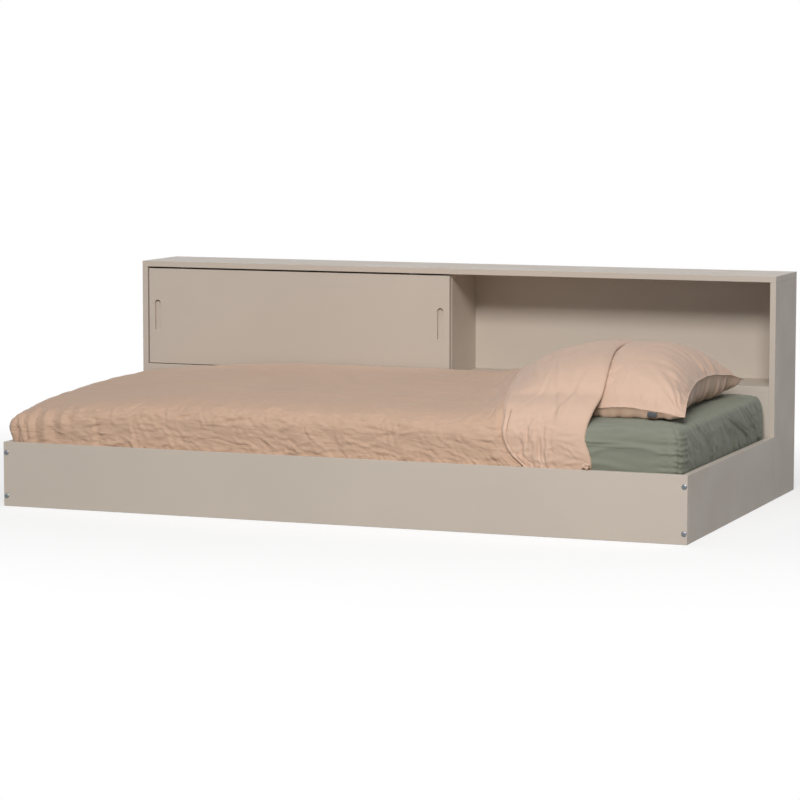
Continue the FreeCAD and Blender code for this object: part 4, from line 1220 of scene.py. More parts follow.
class DAYBED_OT_stage(bpy.types.Operator):
    """Sets the camera, the soft lamps, the pale floor and the background"""

    bl_idname = "daybed.stage"
    bl_label = "Stage"

    def execute(self, context):
        scene = context.scene
        scene.view_settings.view_transform = "Standard"
        focal, place = 3058.6, (3.2340, -8.4111, 1.2553)
        yaw, pitch, roll = (math.radians(a) for a in (21.158, 6.105, -0.039))
        level = math.cos(pitch)
        ahead = Vector((-math.sin(yaw) * level, math.cos(yaw) * level, -math.sin(pitch)))
        right = Vector((math.cos(yaw), math.sin(yaw), 0))
        down = ahead.cross(right)
        across = right * math.cos(roll) + down * math.sin(roll)
        below = down * math.cos(roll) - right * math.sin(roll)
        turn = Matrix((across, -below, -ahead)).transposed()
        photo_width, sensor = 800, 36
        data = bpy.data.cameras.new("camera")
        data.sensor_width = sensor
        data.lens = focal / photo_width * sensor
        data.clip_end = 100
        camera = placed("camera", data)
        camera.matrix_world = Matrix.Translation(place) @ turn.to_4x4()
        scene.camera = camera
        for name, place, aim, size, power, colour in LAMPS:
            self.lamp(name, place, aim, size, power, colour)
        self.world(scene)
        self.floor(scene)
        return {"FINISHED"}

    def lamp(self, name, place, aim, size, power, colour):
        """One soft lamp, aimed at the bed."""
        data = bpy.data.lights.new(name, "AREA")
        set_all(data, shape="RECTANGLE", size=size[0], size_y=size[1], energy=power, color=colour)
        way = Vector(aim) - Vector(place)
        turn = way.to_track_quat("-Z", "Y").to_matrix().to_4x4()
        placed(name, data).matrix_world = Matrix.Translation(place) @ turn

    def world(self, scene):
        """Even light from all round, white where the camera sees it."""
        world = bpy.data.worlds.new("studio")
        scene.world = world
        world.use_nodes = True
        n = Tree(world.node_tree)
        n.tree.nodes.clear()
        light = n.made("ShaderNodeBackground", {"Color": (1.0, 0.985, 0.965, 1), "Strength": 0.05})
        white = n.made("ShaderNodeBackground", {"Color": WHITE, "Strength": 1.0})
        mix = n.made("ShaderNodeMixShader", {0: n.seen(), 1: light, 2: white})
        n.add("ShaderNodeOutputWorld", {"Surface": mix})

    def floor(self, scene):
        """A pale floor that keeps the shadow near the bed and fades to white further out."""
        n = Nodes("studio_floor")
        n.tree.nodes.remove(n.shader)
        colour = scene.daybed_colours.floor
        distance = n.add("ShaderNodeVectorMath", {"Vector": n.place((0.8, 1.1, 1))}, operation="LENGTH")
        tone = n.mix(n.noise(n.place(), 40.0, 2.0), tint(colour, 0.99), tint(colour, 1.0))
        matt = n.made("ShaderNodeBsdfDiffuse", {"Color": n.mix(0.5, tone, BLACK)})
        dim = n.made("ShaderNodeBsdfDiffuse", {"Color": n.mix(0.55, tone, BLACK)})
        glow = n.made("ShaderNodeEmission", {"Color": WHITE, "Strength": 0.62})
        near = n.made("ShaderNodeAddShader", {0: dim, 1: glow})
        white = n.made("ShaderNodeEmission", {"Color": WHITE, "Strength": 1.0})
        shade_end, white_start = 1.05, 2.1
        out = n.ramp(distance.outputs["Value"], shade_end, white_start, 0.0, 1.0)
        pale = n.made("ShaderNodeMixShader", {0: out, 1: near, 2: white})
        shown = n.made("ShaderNodeMixShader", {0: n.seen(), 1: matt, 2: pale})
        n.feed(n.output.inputs["Surface"], shown)
        reach, under = 14.0, -0.0005
        corners = ((-reach, -reach), (reach, -reach), (reach, reach), (-reach, reach))
        points = [corner + (under,) for corner in corners]
        floor = mesh_piece("studio_floor", points, [(0, 1, 2, 3)])
        floor.data.materials.append(n.material)


class DAYBED_OT_boards(bpy.types.Operator):
    """Paints the front board, end boards, cabinet and door"""

    bl_idname = "daybed.boards"
    bl_label = "Painted boards"

    def execute(self, context):
        finish_nodes(BOARDS, painted_board(context.scene.daybed_colours.paint))
        return {"FINISHED"}


class DAYBED_OT_fittings(bpy.types.Operator):
    """Gives the steel fittings and the door's runners their finishes"""

    bl_idname = "daybed.fittings"
    bl_label = "Fittings and runners"

    def execute(self, context):
        colours = context.scene.daybed_colours
        steel = zinc_steel(colours.steel)
        finish_nodes(STEEL, steel)
        self.bolts(steel)
        finish_nodes(RUNNERS, nylon(colours.nylon))
        return {"FINISHED"}

    def bolts(self, steel):
        """The four connector bolts in the front board's corners."""
        low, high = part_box("frame_bolts")
        radius, y = 0.0078, board_low.y
        xs, zs = (low.x + radius, high.x - radius), (low.z + radius, high.z - radius)
        piece = bare_piece("connector_bolts", [(x, y, z) for x in xs for z in zs])
        bolt_tree(steel).grown(piece, {"Head radius": radius, "Head height": y - low.y, "Reach": high.y - y})
        piece.data.set_sharp_from_angle(angle=0.6)
        ride(piece)
        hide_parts("frame_bolts")


class DAYBED_OT_slatted_base(bpy.types.Operator):
    """Gives the slats, ledgers and dowels their wood, and the straps their webbing"""

    bl_idname = "daybed.slatted_base"
    bl_label = "Slatted base"

    def execute(self, context):
        colours = context.scene.daybed_colours
        finish_nodes(SLATS, bare_wood("slat_wood", colours.wood, 1))
        finish_nodes(BARE_WOOD, bare_wood("ledger_wood", colours.wood, 0))
        webbing = woven("webbing", colours.webbing, pitch=0.002, depth=0.0006, source="Object")
        finish_nodes(("slat_strap_front", "slat_strap_rear"), webbing)
        return {"FINISHED"}


class DAYBED_OT_duvet(bpy.types.Operator):
    """Makes the duvet, tucked in at the front and the left end and folded back over the pillow"""

    bl_idname = "daybed.duvet"
    bl_label = "Duvet"

    def execute(self, context):
        scene = context.scene
        sizes, colours = scene.daybed_sizes, scene.daybed_colours
        cotton = blush_cotton(colours)
        base = self.gathered(self.folded(duvet_base_grid(sizes.duvet_cell), seed=3, lying=True))
        base = self.settled("duvet_cloth", base, sizes.duvet_spare, cap=0.010, seed=5, lying=True)
        columns = odd_places(((0, len(base) - 1, sizes.crease_cell * 1.12 / sizes.duvet_cell),))
        base, hem_line = self.made_finer(base, sizes, columns, rear=2.1)
        base = self.creased(base, hem_line, seed=3)
        lying = mark_reverse_and_shade(closed_skin("duvet", base, thickness=0.005), 0.0)

        plain = duvet_cuff_grid(sizes.duvet_cell, sizes.cuff_thickness)
        cuff = self.folded(plain, seed=11)
        cuff = self.settled("cuff_cloth", cuff, sizes.duvet_spare * 0.6, cap=0.006, seed=6)
        columns = np.linspace(0, len(plain) - 1, 83)
        cuff, hem_line = self.made_finer(cuff, sizes, columns, rear=1.5)
        plain, _ = self.made_finer(plain, sizes, columns, rear=1.5)
        cuff = self.creased(cuff, hem_line, seed=11, cuff=True)
        cuff = self.kept_over(cuff, plain, sizes.cuff_thickness)
        hem = cuff[3] + grid_normals(cuff)[3] * 0.0003
        cuff = turned_edge(cuff, sizes.lip_thickness / 2 - 0.002, back=0.02)
        cuff = turned_edge(cuff, sizes.cuff_thickness / 2, back=0.02, last=False, steps=5)
        if len(cuff) % 2 == 0:
            cuff = np.delete(cuff, 1, axis=0)
        folded = mark_reverse_and_shade(closed_skin("duvet_cuff", cuff, thickness=0.002), 1.0)
        join_pieces(lying, [folded, mark_reverse_and_shade(self.knot(), 1.0)])
        lying.data.materials.clear()
        lying.data.materials.append(cotton)
        ride(lying)
        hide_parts("duvet")
        sewn_line("duvet_stitches", [hem[8:-8]], cotton)
        return {"FINISHED"}

    def knot(self):
        """The small knotted corner of the folded-back end, which rests on the front board's edge."""
        t = np.linspace(0, 2 * math.pi, 49)[:-1]
        x = np.sin(t) + 2 * np.sin(2 * t)
        y = 1.3 * np.sin(3 * t)
        z = 0.7 * (np.cos(t) - 2 * np.cos(2 * t))
        line = np.stack([x, y, z], axis=1) * 0.0032 + np.array([0.744, -0.5845, board_high.z + 0.0104])
        return closed_tube("duvet_knot", line, radius=0.0035, sides=10)

    def kept_over(self, grid, plain, thickness):
        """The folded-back end, kept over the lying part, which is a thickness under the plain grid."""
        normal = grid_normals(plain)
        depth = np.clip(0.85 * thickness * normal[..., 2] - 0.001, 0.0006, 0.006)
        half = depth / 2
        height = ((grid - plain) * normal).sum(axis=2)
        soft = -depth + half * np.exp(np.minimum((height + half) / half, 0))
        return grid + normal * (np.where(height < -half, soft, height) - height)[..., None]

    def settled(self, name, grid, spare, cap, seed, lying=False):
        """The grid after its spare cloth has settled on the body under it, in soft folds."""
        cloth = grid_piece(name, grid)
        body = grid_piece(name + "_body", (grid - grid_normals(grid) * 0.0035)[::2, ::2])
        held, loose = self.weights(grid, lying)
        settle_cloth(cloth, body, held, loose, spare, cap, bending=0.6, seed=seed)
        moved = vertex_places(cloth).reshape(grid.shape) - grid
        remove_piece(body)
        remove_piece(cloth)
        for _ in range(2):
            moved = softened(moved)
        return grid + moved

    def made_finer(self, grid, sizes, columns, rear):
        """A part with a finer mesh, finest over its front, and the hem's place at each of its rows."""
        last = grid.shape[1] - 1
        front = int(0.26 / sizes.duvet_cell)
        step = sizes.crease_cell / sizes.duvet_cell
        rows = odd_places(((0, front, step), (front, last, sizes.crease_cell * rear / sizes.duvet_cell)))
        hem_line = np.interp(rows, np.arange(last + 1), duvet_rows(sizes.duvet_cell)[:, 6])
        return finer(finer(grid, columns, 0), rows, 1), hem_line

    def weights(self, grid, lying):
        """Where the cloth is held, and where it has its spare length."""
        x, y = grid[..., 0], grid[..., 1]
        held = np.ones(grid.shape[:2])
        held[2:-2, 2:-2] = 0
        hem = hem_place(y)
        held[np.abs(x - hem) < 0.045] = 1
        if lying:
            held[x > hem] = 1
        front = fade(duvet_front + 0.03, duvet_front + 0.12, y)
        end = fade(duvet_left + 0.03, duvet_left + 0.15, x)
        spare = np.clip(0.1 + 0.9 * np.maximum(front, 0.4 * end), 0, 1)
        return held.ravel(), spare.ravel()

    def regions(self, grid):
        """Shares of the front's drop, its shoulder and the left end at each point."""
        x, y = grid[..., 0], grid[..., 1]
        low = fade(duvet_front + 0.008, duvet_front + 0.05, y)
        shoulder = ease(duvet_front + 0.002, duvet_front + 0.03, y)
        shoulder = shoulder * fade(duvet_front + 0.06, duvet_front + 0.2, y)
        end = fade(duvet_left + 0.03, duvet_left + 0.12, x) * (1 - low)
        return low, shoulder, end

    def folded(self, grid, seed, lying=False):
        """Broad folds and swells of the cloth, which the settling then works on."""
        maps = grid_map(grid)
        u, v = maps[..., 0], maps[..., 1]
        low, shoulder, end = self.regions(grid)
        height = low * 0.0030 * layered_noise(u * 12, v * 16, seed + 13)
        height += (end + shoulder) * 0.0018 * layered_noise(u * 14, v * 12, seed + 14)
        height += (1 - low) * 0.0022 * layered_noise(u * 2.6, v * 5.5, seed + 19)
        if lying:
            hem = hem_place(grid[..., 1])
            height *= fade(hem - 0.03, hem, grid[..., 0])
        return grid + grid_normals(grid) * height[..., None]

    def gathered(self, grid):
        """Upright folds of the spare cloth round the front left corner."""
        x, y, z = grid[..., 0], grid[..., 1], grid[..., 2]
        dx, dy = duvet_left + turn_reach - x, duvet_front + turn_reach - y
        angle = np.arctan2(np.maximum(dy, 0), np.maximum(dx, 1e-6))
        near = ease(-0.02, 0.03, dx) * ease(-0.02, 0.03, dy)
        depth = ease(0.0, 0.08, 0.29 - z)
        folds = np.sin(angle * 11 + 1.5 * lattice_noise(angle * 2, z / 0.06, 77))
        folds = folds + 0.5 * np.sin(angle * 23 + 1)
        return grid + grid_normals(grid) * (near * depth * 0.0042 * folds)[..., None]

    def creased(self, grid, hem_line, seed, cuff=False):
        """Creases of worn cotton: small and mostly level on the front, long and soft on top."""
        maps = grid_map(grid)
        u, v = maps[..., 0], maps[..., 1]
        x, y, z = grid[..., 0], grid[..., 1], grid[..., 2]
        low, shoulder, end = self.regions(grid)
        top = (1 - low) * (1 - end)
        wide, deep = float(u.max()), float(v.max())
        hem = fade(0.0, 0.05, z - tuck_bottom - 0.02)
        wander = 0.012 * layered_noise(u * 9, v * 6, seed + 20)
        gather = creased((u + wander) / 0.018, v / 0.06, seed + 9)
        patch = 0.5 + 0.5 * lattice_noise(u / 0.13, v / 0.07, seed + 12)
        broad = creased(u / 0.11, v / 0.034, seed + 3, 0.5)
        level = strokes(u, v, seed, int(240 * wide), (0, wide, 0.01, 0.19),
                        angle=0.05, spread=0.32, lengths=(0.010, 0.042), widths=(0.0034, 0.006))
        plumb = strokes(u, v, seed + 1, int(100 * wide), (0, wide, 0.0, 0.18),
                        angle=1.5, spread=0.4, lengths=(0.012, 0.034), widths=(0.0036, 0.006))
        share = 0.6 if cuff else 1.0
        small = 0.0036 * level + 0.0032 * plumb + 0.0034 * broad * patch + 0.0045 * hem * gather
        height = low * share * small
        height += shoulder * (1 - low) * share * (0.0018 * gather + 0.0022 * plumb)
        height += end * 0.0016 * creased(v / 0.03, u / 0.09, seed + 15)
        if cuff:
            long = strokes(u, v, seed + 16, 40, (0, wide, 0.1, 0.75 * deep),
                           angle=1.45, spread=0.16, lengths=(0.07, 0.18), widths=(0.006, 0.012))
            height += (top + 0.5 * shoulder) * 0.0046 * long
            pleats = strokes(x, z, seed + 22, 26, (0.545, 0.655, 0.175, 0.285),
                             angle=1.62, spread=0.12, lengths=(0.02, 0.055), widths=(0.0046, 0.0075))
            height += low * 0.0042 * pleats
            height += 0.0030 * hump(x - hem_line - 0.013, 0.006)
            over_board = ease(board_high.z, board_high.z + 0.025, z)
            height += low * over_board * (0.0028 + 0.0030 * hump(x - hem_line - 0.008, 0.02))
        else:
            ridge = hem_line - x
            height += 0.0035 * ease(0.006, 0.018, ridge) * fade(0.022, 0.07, ridge)
            streaks = strokes(u, v, seed + 18, 60, (0, wide, 0.2, deep),
                              angle=0.0, spread=0.1, lengths=(0.08, 0.3), widths=(0.010, 0.022))
            rise = ease(0.012, 0.03, ridge) * fade(0.06, 0.2, ridge)
            slant = strokes(u, v, seed + 21, 60, (wide - 0.5, wide, 0.1, deep),
                            angle=1.5, spread=0.18, lengths=(0.05, 0.16), widths=(0.006, 0.012))
            height += top * (0.0020 * streaks + 0.0038 * rise * slant)
            height *= 1 - 0.7 * low * fade(duvet_left + 0.05, duvet_left + 0.24, x)
            height += 1.15 * pulled(x, z, DUVET_CORNER_FOLDS) * fade(0.02, 0.10, y - duvet_front)
            height *= ease(-0.010, 0.004, ridge)
        height = np.maximum(height, -0.0010 - 0.0045 * low)
        if not cuff:
            height -= 0.0030 * hump(ridge, 0.0045)
            height -= 0.0025 * low * fade(-0.012, 0.0, ridge)
        start = np.arange(grid.shape[0]) / 3
        calm = np.minimum(1, np.minimum(start, start[::-1] / (5 if cuff else 1)))
        return grid + grid_normals(grid) * (height * calm[:, None])[..., None]


class DAYBED_OT_mattress(bpy.types.Operator):
    """Makes the mattress, with its tape edges"""

    bl_idname = "daybed.mattress"
    bl_label = "Mattress"

    def execute(self, context):
        colour = context.scene.daybed_colours.ticking
        ticking = woven("mattress_ticking", colour, pitch=0.0016, depth=0.0005, creases=0.15)
        low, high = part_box("mattress")
        rise = high.z - low.z
        profile = [
            (0.135, 0.0), (0.06, 0.0), (0.016, 0.002), (0.006, 0.006), (0.001, 0.012), (0.004, 0.017),
            (0.0, 0.03), (0.0, 0.06), (0.0, 0.09), (0.002, rise - 0.052), (0.007, rise - 0.036),
            (0.013, rise - 0.026), (0.021, rise - 0.022), (0.022, rise - 0.017), (0.036, rise - 0.0125),
            (0.09, rise - 0.006), (0.16, rise - 0.001),
        ]
        line = smooth_line(profile, 70)
        radius, cell = 0.055, 0.03
        places = outline_places(low, high, radius, fine=cell, coarse=cell, turns=10)
        grid = pressed(ring_grid(low, high, radius, line, places), low)
        piece = ring_piece("mattress", grid)
        piece.data.materials.append(ticking)
        ride(piece)
        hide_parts("mattress")
        return {"FINISHED"}


class DAYBED_OT_fitted_sheet(bpy.types.Operator):
    """Makes the fitted sheet, stretched over the mattress, with gathered corner seams"""

    bl_idname = "daybed.fitted_sheet"
    bl_label = "Fitted sheet"

    def execute(self, context):
        scene = context.scene
        cell = scene.daybed_sizes.sheet_cell
        sage = woven(
            "sage_cotton", scene.daybed_colours.sheet, pitch=0.001, depth=0.0003, sheen=0.12,
            creases=0.2, rough=0.85, slub=0.04)
        low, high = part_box("fitted_sheet")
        rise = high.z - low.z
        profile = [
            (0.088, 0.0006), (0.06, 0.0004), (0.03, 0.0004), (0.0145, 0.0018), (0.006, 0.007),
            (0.0012, 0.014), (0.0, 0.03), (0.0, 0.06), (0.0, 0.09), (0.0012, rise - 0.046),
            (0.004, rise - 0.034), (0.010, rise - 0.0235), (0.021, rise - 0.0155), (0.045, rise - 0.0085),
            (0.09, rise - 0.0042), (0.15, rise - 0.0006), (0.24, rise), (0.36, rise),
        ]
        samples, turns = 1200, 18
        line = smooth_line(profile, samples)
        run = run_along(line)[-1]
        spots = np.concatenate([
            np.arange(0, 0.085, 0.011), np.arange(0.085, 0.275, 0.0034), np.arange(0.275, run, 0.013), [run]])
        line = line[np.round(spots / run * (samples - 1)).astype(int)]
        radius = scene.daybed_sizes.corner_radius
        places = outline_places(low, high, radius, fine=cell, coarse=0.024, turns=turns)
        grid = ring_grid(low, high, radius, line, places)
        grid = pressed(self.wrinkled(grid, line, places, low, high), low)
        out = ring_normals(grid) * 0.0004
        seams = [(grid + out)[turns // 2 + k] for k in self.corner_starts(places)]
        piece = ring_piece("fitted_sheet", grid, close_bottom=False)
        solidified(piece, 0.0012)
        piece.data.materials.append(sage)
        ride(piece)
        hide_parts("fitted_sheet")
        tall = int(np.argmax(line[:, 1] > rise * 0.97))
        sewn_line("sheet_stitches", [seam[8:tall] for seam in seams], sage)
        return {"FINISHED"}

    def corner_starts(self, places):
        """Where each rounded corner starts in the ring's list of places."""
        return [k for k, place in enumerate(places)
                if place[0] == 1 and (k == 0 or places[k - 1][:2] != place[:2])]

    def wrinkled(self, grid, line, places, low, high):
        """Gathers beside the corner seams, pulls on the head end and soft waves elsewhere."""
        normal = ring_normals(grid)
        run = run_along(line)
        t = np.ones((len(places), 1)) * run[None, :]
        s = np.array([place[3] for place in places])[:, None] * np.ones((1, len(line)))
        z = grid[..., 2]
        side = ease(low.z + 0.004, low.z + 0.02, z) * fade(high.z - 0.012, high.z - 0.002, z)
        height = 0.0016 * layered_noise(s * 9, t * 14, 31) * (0.35 + 0.65 * side)
        for corner in range(4):
            off = self.off_corner(s, corner, high, low)
            seam = hump(off, 0.0024)
            near = np.exp(-(np.abs(off) / 0.017) ** 1.5)
            far = np.exp(-np.abs(off) / 0.05)
            beat = np.sin(t * 2 * math.pi / 0.0150 + 1.8 * lattice_noise(t * 60, off * 30, 41 + corner)
                          + 0.9 * np.sign(off))
            gather = beat * near * np.clip(1 + 0.6 * lattice_noise(t * 60, s * 40, 51), 0, 2)
            slow = np.sin(t * 2 * math.pi / 0.034 + 1.5 * lattice_noise(t * 30, s * 14, 61 + corner))
            share = 0.35 if corner == 1 else 1.0
            height += side * share * (0.0034 * gather + 0.0022 * near - 0.0030 * seam + 0.0016 * slow * far)
        for tall, on_sides, *lines in SHEET_CREASES:
            height += (side if on_sides else 1) * tall * strokes(s, t, *lines)
        on_front = fade(-0.16, -0.03, s) * ease(-0.45, -0.3, s)
        fold, hollow = hump(t - 0.186 - 0.01 * s, 0.004), hump(t - 0.181 - 0.01 * s, 0.003)
        height += on_front * (0.0045 * fold - 0.003 * hollow)
        line_on = fade(-0.15, -0.06, s) * ease(-0.5, -0.36, s)
        height += 0.0040 * line_on * (hump(z - 0.2635, 0.004) - hump(z - 0.2565, 0.0035))
        at_end = ease(0.0, 0.004, s) * fade(0.83, 0.86, s)
        height += pulled(grid[..., 1], z, SHEET_END_FOLDS) * at_end * (grid[..., 0] > 0.9)
        share_up = (z - low.z) / (high.z - low.z)
        bow = np.sin(np.clip(share_up, 0, 1) * math.pi)
        height += 0.002 * bow * side
        height *= ease(0.05, 0.1, t)
        edge = np.hypot(line[:, 0] - 0.0135, line[:, 1] - (high.z - low.z) + 0.0195)[None, :]
        height += 0.0055 * hump(edge, 0.012) * ease(0.72, 0.82, grid[..., 0])
        height = np.clip(height, -0.0016, 0.009)
        covered = fade(0.50, 0.62, grid[..., 0])
        height = height * (1 - 0.8 * covered) - 0.0012 * covered
        out = grid + normal * height[..., None]
        rear = ease(0.70, 0.95, grid[..., 0]) * ease(-0.1, 0.3, grid[..., 1]) * ease(0.6, 1.0, share_up)
        out[..., 2] += 0.006 * rear
        return out

    def off_corner(self, s, corner, high, low):
        """Distance along the outline from one of the four corner seams."""
        radius = bpy.context.scene.daybed_sizes.corner_radius
        length, width = high.x - low.x - 2 * radius, high.y - low.y - 2 * radius
        spots = (0.0, width, width + length, -length)
        around = 2 * (length + width)
        off = s - spots[corner]
        return (off + around / 2) % around - around / 2


class DAYBED_OT_pillow(bpy.types.Operator):
    """Makes the pillow with its pinched seam, and the small blank tab"""

    bl_idname = "daybed.pillow"
    bl_label = "Pillow and tab"

    def execute(self, context):
        scene = context.scene
        sizes, colours = scene.daybed_sizes, scene.daybed_colours
        top, under, depth = self.panels(sizes.pillow_cell)
        pillow = self.sewn(top, under)
        held = np.concatenate([self.held(top, True).ravel(), self.held(under, False)[1:-1, 1:-1].ravel()])
        loose = ease(0.003, 0.03, depth) * (1 - 0.65 * ease(0.08, 0.2, depth))
        spare = np.concatenate([loose.ravel(), loose[1:-1, 1:-1].ravel()])
        settle_cloth(pillow, None, held, spare, sizes.pillow_spare, cap=0.010, pressure=1.2,
                     bending=0.08, seed=9)
        set_all(pillow.modifiers.new("finer", "SUBSURF"), levels=1, render_levels=1)
        plain_mesh(pillow)
        # Painted shade: where the pillow faces down its mark is lowered, so its underside takes part of the
        # darker face colour of the duvet cover, as if in shade.
        facing_for_shade = np.empty(3 * len(pillow.data.vertices), np.float32)
        pillow.data.vertices.foreach_get("normal", facing_for_shade)
        mark_reverse_and_shade(pillow, 1.0 - 0.55 * ease(-0.1, 0.5, -facing_for_shade[2::3]))
        pillow.data.materials.append(blush_cotton(colours))
        ride(pillow)
        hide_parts("pillow")
        self.tab(colours)
        return {"FINISHED"}

    def panels(self, cell):
        """Top and under panel as grids with a common rim, and each point's distance to the rim."""
        rim, count = 0.005, 300
        a, b = (
            np.concatenate([[0], np.linspace(rim / size, 1 - rim / size, int(size / cell)), [1]])
            for size in (PILLOW_ACROSS, PILLOW_ALONG))
        right, left, front, rear = (
            smooth_line(seam, count)
            for seam in (PILLOW_RIGHT_SEAM, PILLOW_LEFT_SEAM, PILLOW_FRONT_SEAM, PILLOW_REAR_SEAM))
        ends = np.linspace(0, 1, count)

        def at(line, share):
            return np.stack([np.interp(share, ends, line[:, k]) for k in range(3)], axis=-1)

        A, B = a[:, None, None], b[None, :, None]
        seam = (1 - A) * at(left, b)[None] + A * at(right, b)[None]
        seam = seam + (1 - B) * at(front, a)[:, None] + B * at(rear, a)[:, None]
        seam -= ((1 - A) * (1 - B) * left[0] + A * (1 - B) * right[0]
                 + (1 - A) * B * left[-1] + A * B * right[-1])
        inner_a = np.clip((a - a[1]) / (a[-2] - a[1]), 0, 1)[:, None]
        inner_b = np.clip((b - b[1]) / (b[-2] - b[1]), 0, 1)[None, :]
        s = (inner_a - 0.48) / np.where(inner_a > 0.48, 0.52, 0.48)
        swell = np.where(s > 0, 1 - np.abs(s) ** 4.4, 1 - np.abs(s) ** 1.9)
        crown = sheet_top + 0.17 * smooth_values(PILLOW_CROWN[:, 0], PILLOW_CROWN[:, 1], inner_b)
        top = seam.copy()
        top[..., 2] = seam[..., 2] * (1 - swell) + crown * swell
        d_a = np.minimum(inner_a, 1 - inner_a) * PILLOW_ACROSS
        d_b = np.minimum(inner_b, 1 - inner_b) * PILLOW_ALONG
        depth = np.minimum(d_a + 0 * d_b, d_b + 0 * d_a)
        reach_b = np.where(inner_b < 0.5, 0.020, 0.06)
        softer = 1 / ((0.06 / np.maximum(d_a, 1e-6)) ** 2 + (reach_b / np.maximum(d_b, 1e-6)) ** 2) ** 0.5
        q = np.clip(softer, 0, 1)
        sink = np.sqrt(np.clip(1 - (1 - q) ** 2, 0, 1))
        under = seam.copy()
        foot = sheet_top - 0.004 * fade(0.0, 0.1, inner_b)
        under[..., 2] = seam[..., 2] * (1 - sink) + (foot + 0.001) * sink
        ceiling = duvet_height(top[..., 0], top[..., 1]) - 0.0185
        lip = station_place(top[..., 1], 5)
        ceiling = ceiling + np.clip(top[..., 0] - lip + 0.004, 0, None) * 1.6
        top[..., 2] = np.where(top[..., 2] > ceiling, ceiling, top[..., 2])
        top[..., 2] = np.maximum(top[..., 2], under[..., 2] + 0.004 * np.clip(depth / 0.03, 0, 1))
        top = self.puckered(top, depth, inner_a, inner_b, seed=81, way=1)
        under = self.puckered(under, depth, inner_a, inner_b, seed=91, way=-1)
        under[..., 2] = np.maximum(under[..., 2], foot + 0.0008)
        return top, under, depth

    def puckered(self, grid, depth, a, b, seed, way):
        """Small puckers that run in from the seam, and soft dents further in."""
        normal = grid_normals(grid) * way
        x, y = a * PILLOW_ACROSS + 0 * b, b * PILLOW_ALONG + 0 * a
        d_a = np.minimum(x, PILLOW_ACROSS - x)
        d_b = np.minimum(y, PILLOW_ALONG - y)
        from_ends = np.exp(-d_b / 0.045) * lattice_noise(x / 0.017, d_b / 0.06, seed)
        from_sides = np.exp(-d_a / 0.05) * lattice_noise(y / 0.017, d_a / 0.06, seed + 1)
        reach = np.exp(-d_a / 0.11) * lattice_noise(y / 0.034, d_a / 0.14, seed + 2)
        rise = ease(0.0, 0.012, depth)
        ends = 0.0042 if way > 0 else 0.0075
        height = rise * (ends * from_ends + 0.0048 * from_sides + 0.0045 * reach)
        height += rise * 0.0022 * layered_noise(x * 9, y * 7, seed + 3)
        corner = np.hypot(PILLOW_ACROSS - x, y)
        angle = np.arctan2(y, PILLOW_ACROSS - x)
        height += rise * 0.004 * np.exp(-corner / 0.12) * np.sin(angle * 17) * ease(0.01, 0.04, corner)
        out = grid + normal * height[..., None]
        hem = 0.0022 * lattice_noise(x / 0.05, y / 0.05, seed // 10 * 10 + 5) * np.exp(-depth / 0.02)
        out[..., 2] += hem
        return out

    def held(self, grid, upper):
        """Where the pillow stays put: where it is pressed by the duvet or lies on the sheet."""
        lip = station_place(grid[..., 1], 5)
        pressed = fade(lip - 0.05, lip - 0.005, grid[..., 0])
        if upper:
            return pressed
        lying = fade(sheet_top + 0.002, sheet_top + 0.008, grid[..., 2])
        return np.maximum(pressed, lying)

    def sewn(self, top, under):
        """One closed mesh from both panels, sewn at the rim."""
        m, n, _ = top.shape
        upper = np.arange(m * n).reshape(m, n)
        lower = upper.copy()
        lower[1:-1, 1:-1] = m * n + np.arange((m - 2) * (n - 2)).reshape(m - 2, n - 2)
        a = np.stack([upper[:-1, :-1], upper[1:, :-1], upper[1:, 1:], upper[:-1, 1:]], axis=2).reshape(-1, 4)
        b = np.stack([lower[:-1, :-1], lower[:-1, 1:], lower[1:, 1:], lower[1:, :-1]], axis=2).reshape(-1, 4)
        points = np.vstack([top.reshape(-1, 3), under[1:-1, 1:-1].reshape(-1, 3)])
        maps = np.vstack([grid_map(top).reshape(-1, 2), grid_map(under)[1:-1, 1:-1].reshape(-1, 2)])
        return mesh_piece("pillow", points, a.tolist() + b.tolist(), maps)

    def tab(self, colours):
        """A small loop of woven tape that hangs from the front seam."""
        low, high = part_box("pillow_tag")
        y0, z0 = high.y + 0.003, 0.3385
        drop = smooth_line([
            (y0, z0), (y0 - 0.004, z0 - 0.001), (y0 - 0.0068, z0 - 0.005), (y0 - 0.0075, z0 - 0.012)], 9)
        back = drop[::-1] + np.array([0.0018, -0.0006])
        nose = np.array([[drop[-1, 0] + 0.0009, drop[-1, 1] - 0.0012]])
        loop = np.vstack([drop, nose, back])
        xs = np.linspace(low.x, high.x, 9)
        wave = [0.0006 * math.sin(k * 0.8) for k in range(9)]
        grid = np.stack([
            np.stack([np.full(len(loop), x), loop[:, 0], loop[:, 1] + rise], axis=1)
            for x, rise in zip(xs, wave)])
        tab = grid_piece("pillow_tag", grid[:, ::-1])
        solidified(tab, 0.0008)
        tab.data.materials.append(woven("grey_tab", colours.tab, pitch=0.0008, depth=0.0003))
        ride(tab)
        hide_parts("pillow_tag")


class DAYBED_PT_panel(bpy.types.Panel):
    """Lists the daybed's steps, sizes and colours"""

    bl_label = "Storage daybed"
    bl_idname = "DAYBED_PT_panel"
    bl_space_type = "VIEW_3D"
    bl_region_type = "UI"
    bl_category = "Daybed"

    def draw(self, context):
        layout = self.layout
        for operator in OPERATORS:
            layout.operator(operator.bl_idname)
        for group in (context.scene.daybed_sizes, context.scene.daybed_colours):
            box = layout.box()
            for name in group.__annotations__:
                box.prop(group, name)


OPERATORS = (
    DAYBED_OT_stage,
    DAYBED_OT_boards,
    DAYBED_OT_fittings,
    DAYBED_OT_slatted_base,
    DAYBED_OT_mattress,
    DAYBED_OT_fitted_sheet,
    DAYBED_OT_duvet,
    DAYBED_OT_pillow,
)
CLASSES = (DaybedSizes, DaybedColours) + OPERATORS + (DAYBED_PT_panel,)


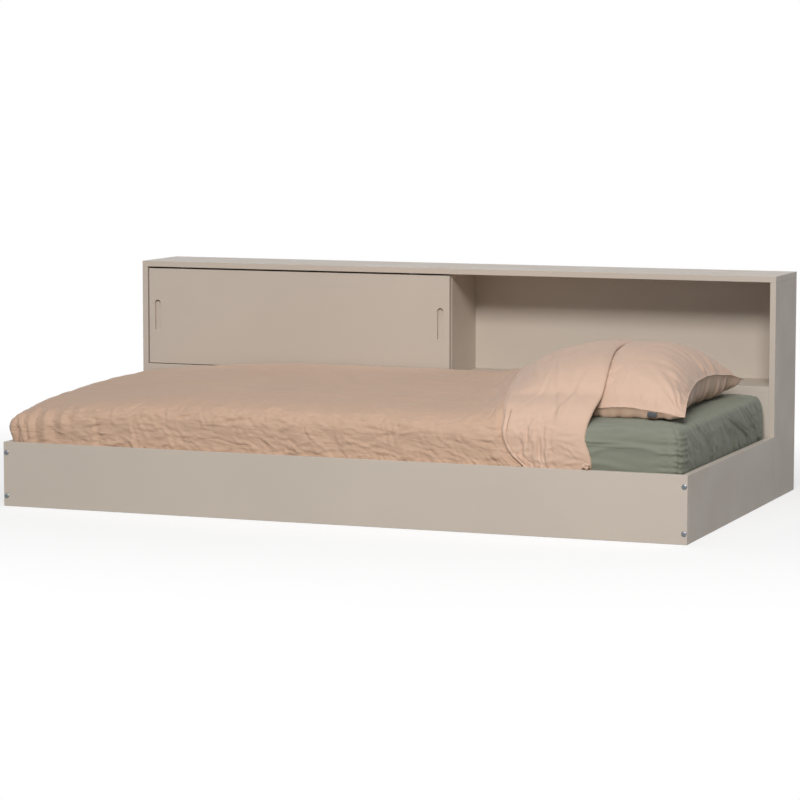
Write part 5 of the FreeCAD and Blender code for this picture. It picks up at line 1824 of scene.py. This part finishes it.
def register():
    """Registers the classes and their properties."""
    for item in CLASSES:
        bpy.utils.register_class(item)
    bpy.types.Scene.daybed_sizes = PointerProperty(type=DaybedSizes)
    bpy.types.Scene.daybed_colours = PointerProperty(type=DaybedColours)


def unregister():
    """Takes the classes and their properties away again."""
    del bpy.types.Scene.daybed_sizes
    del bpy.types.Scene.daybed_colours
    for item in reversed(CLASSES):
        bpy.utils.unregister_class(item)


def main():
    """Builds everything on the frame."""
    register()
    for operator in OPERATORS:
        space, name = operator.bl_idname.split(".")
        getattr(getattr(bpy.ops, space), name)()


if __name__ == "__main__":
    main()
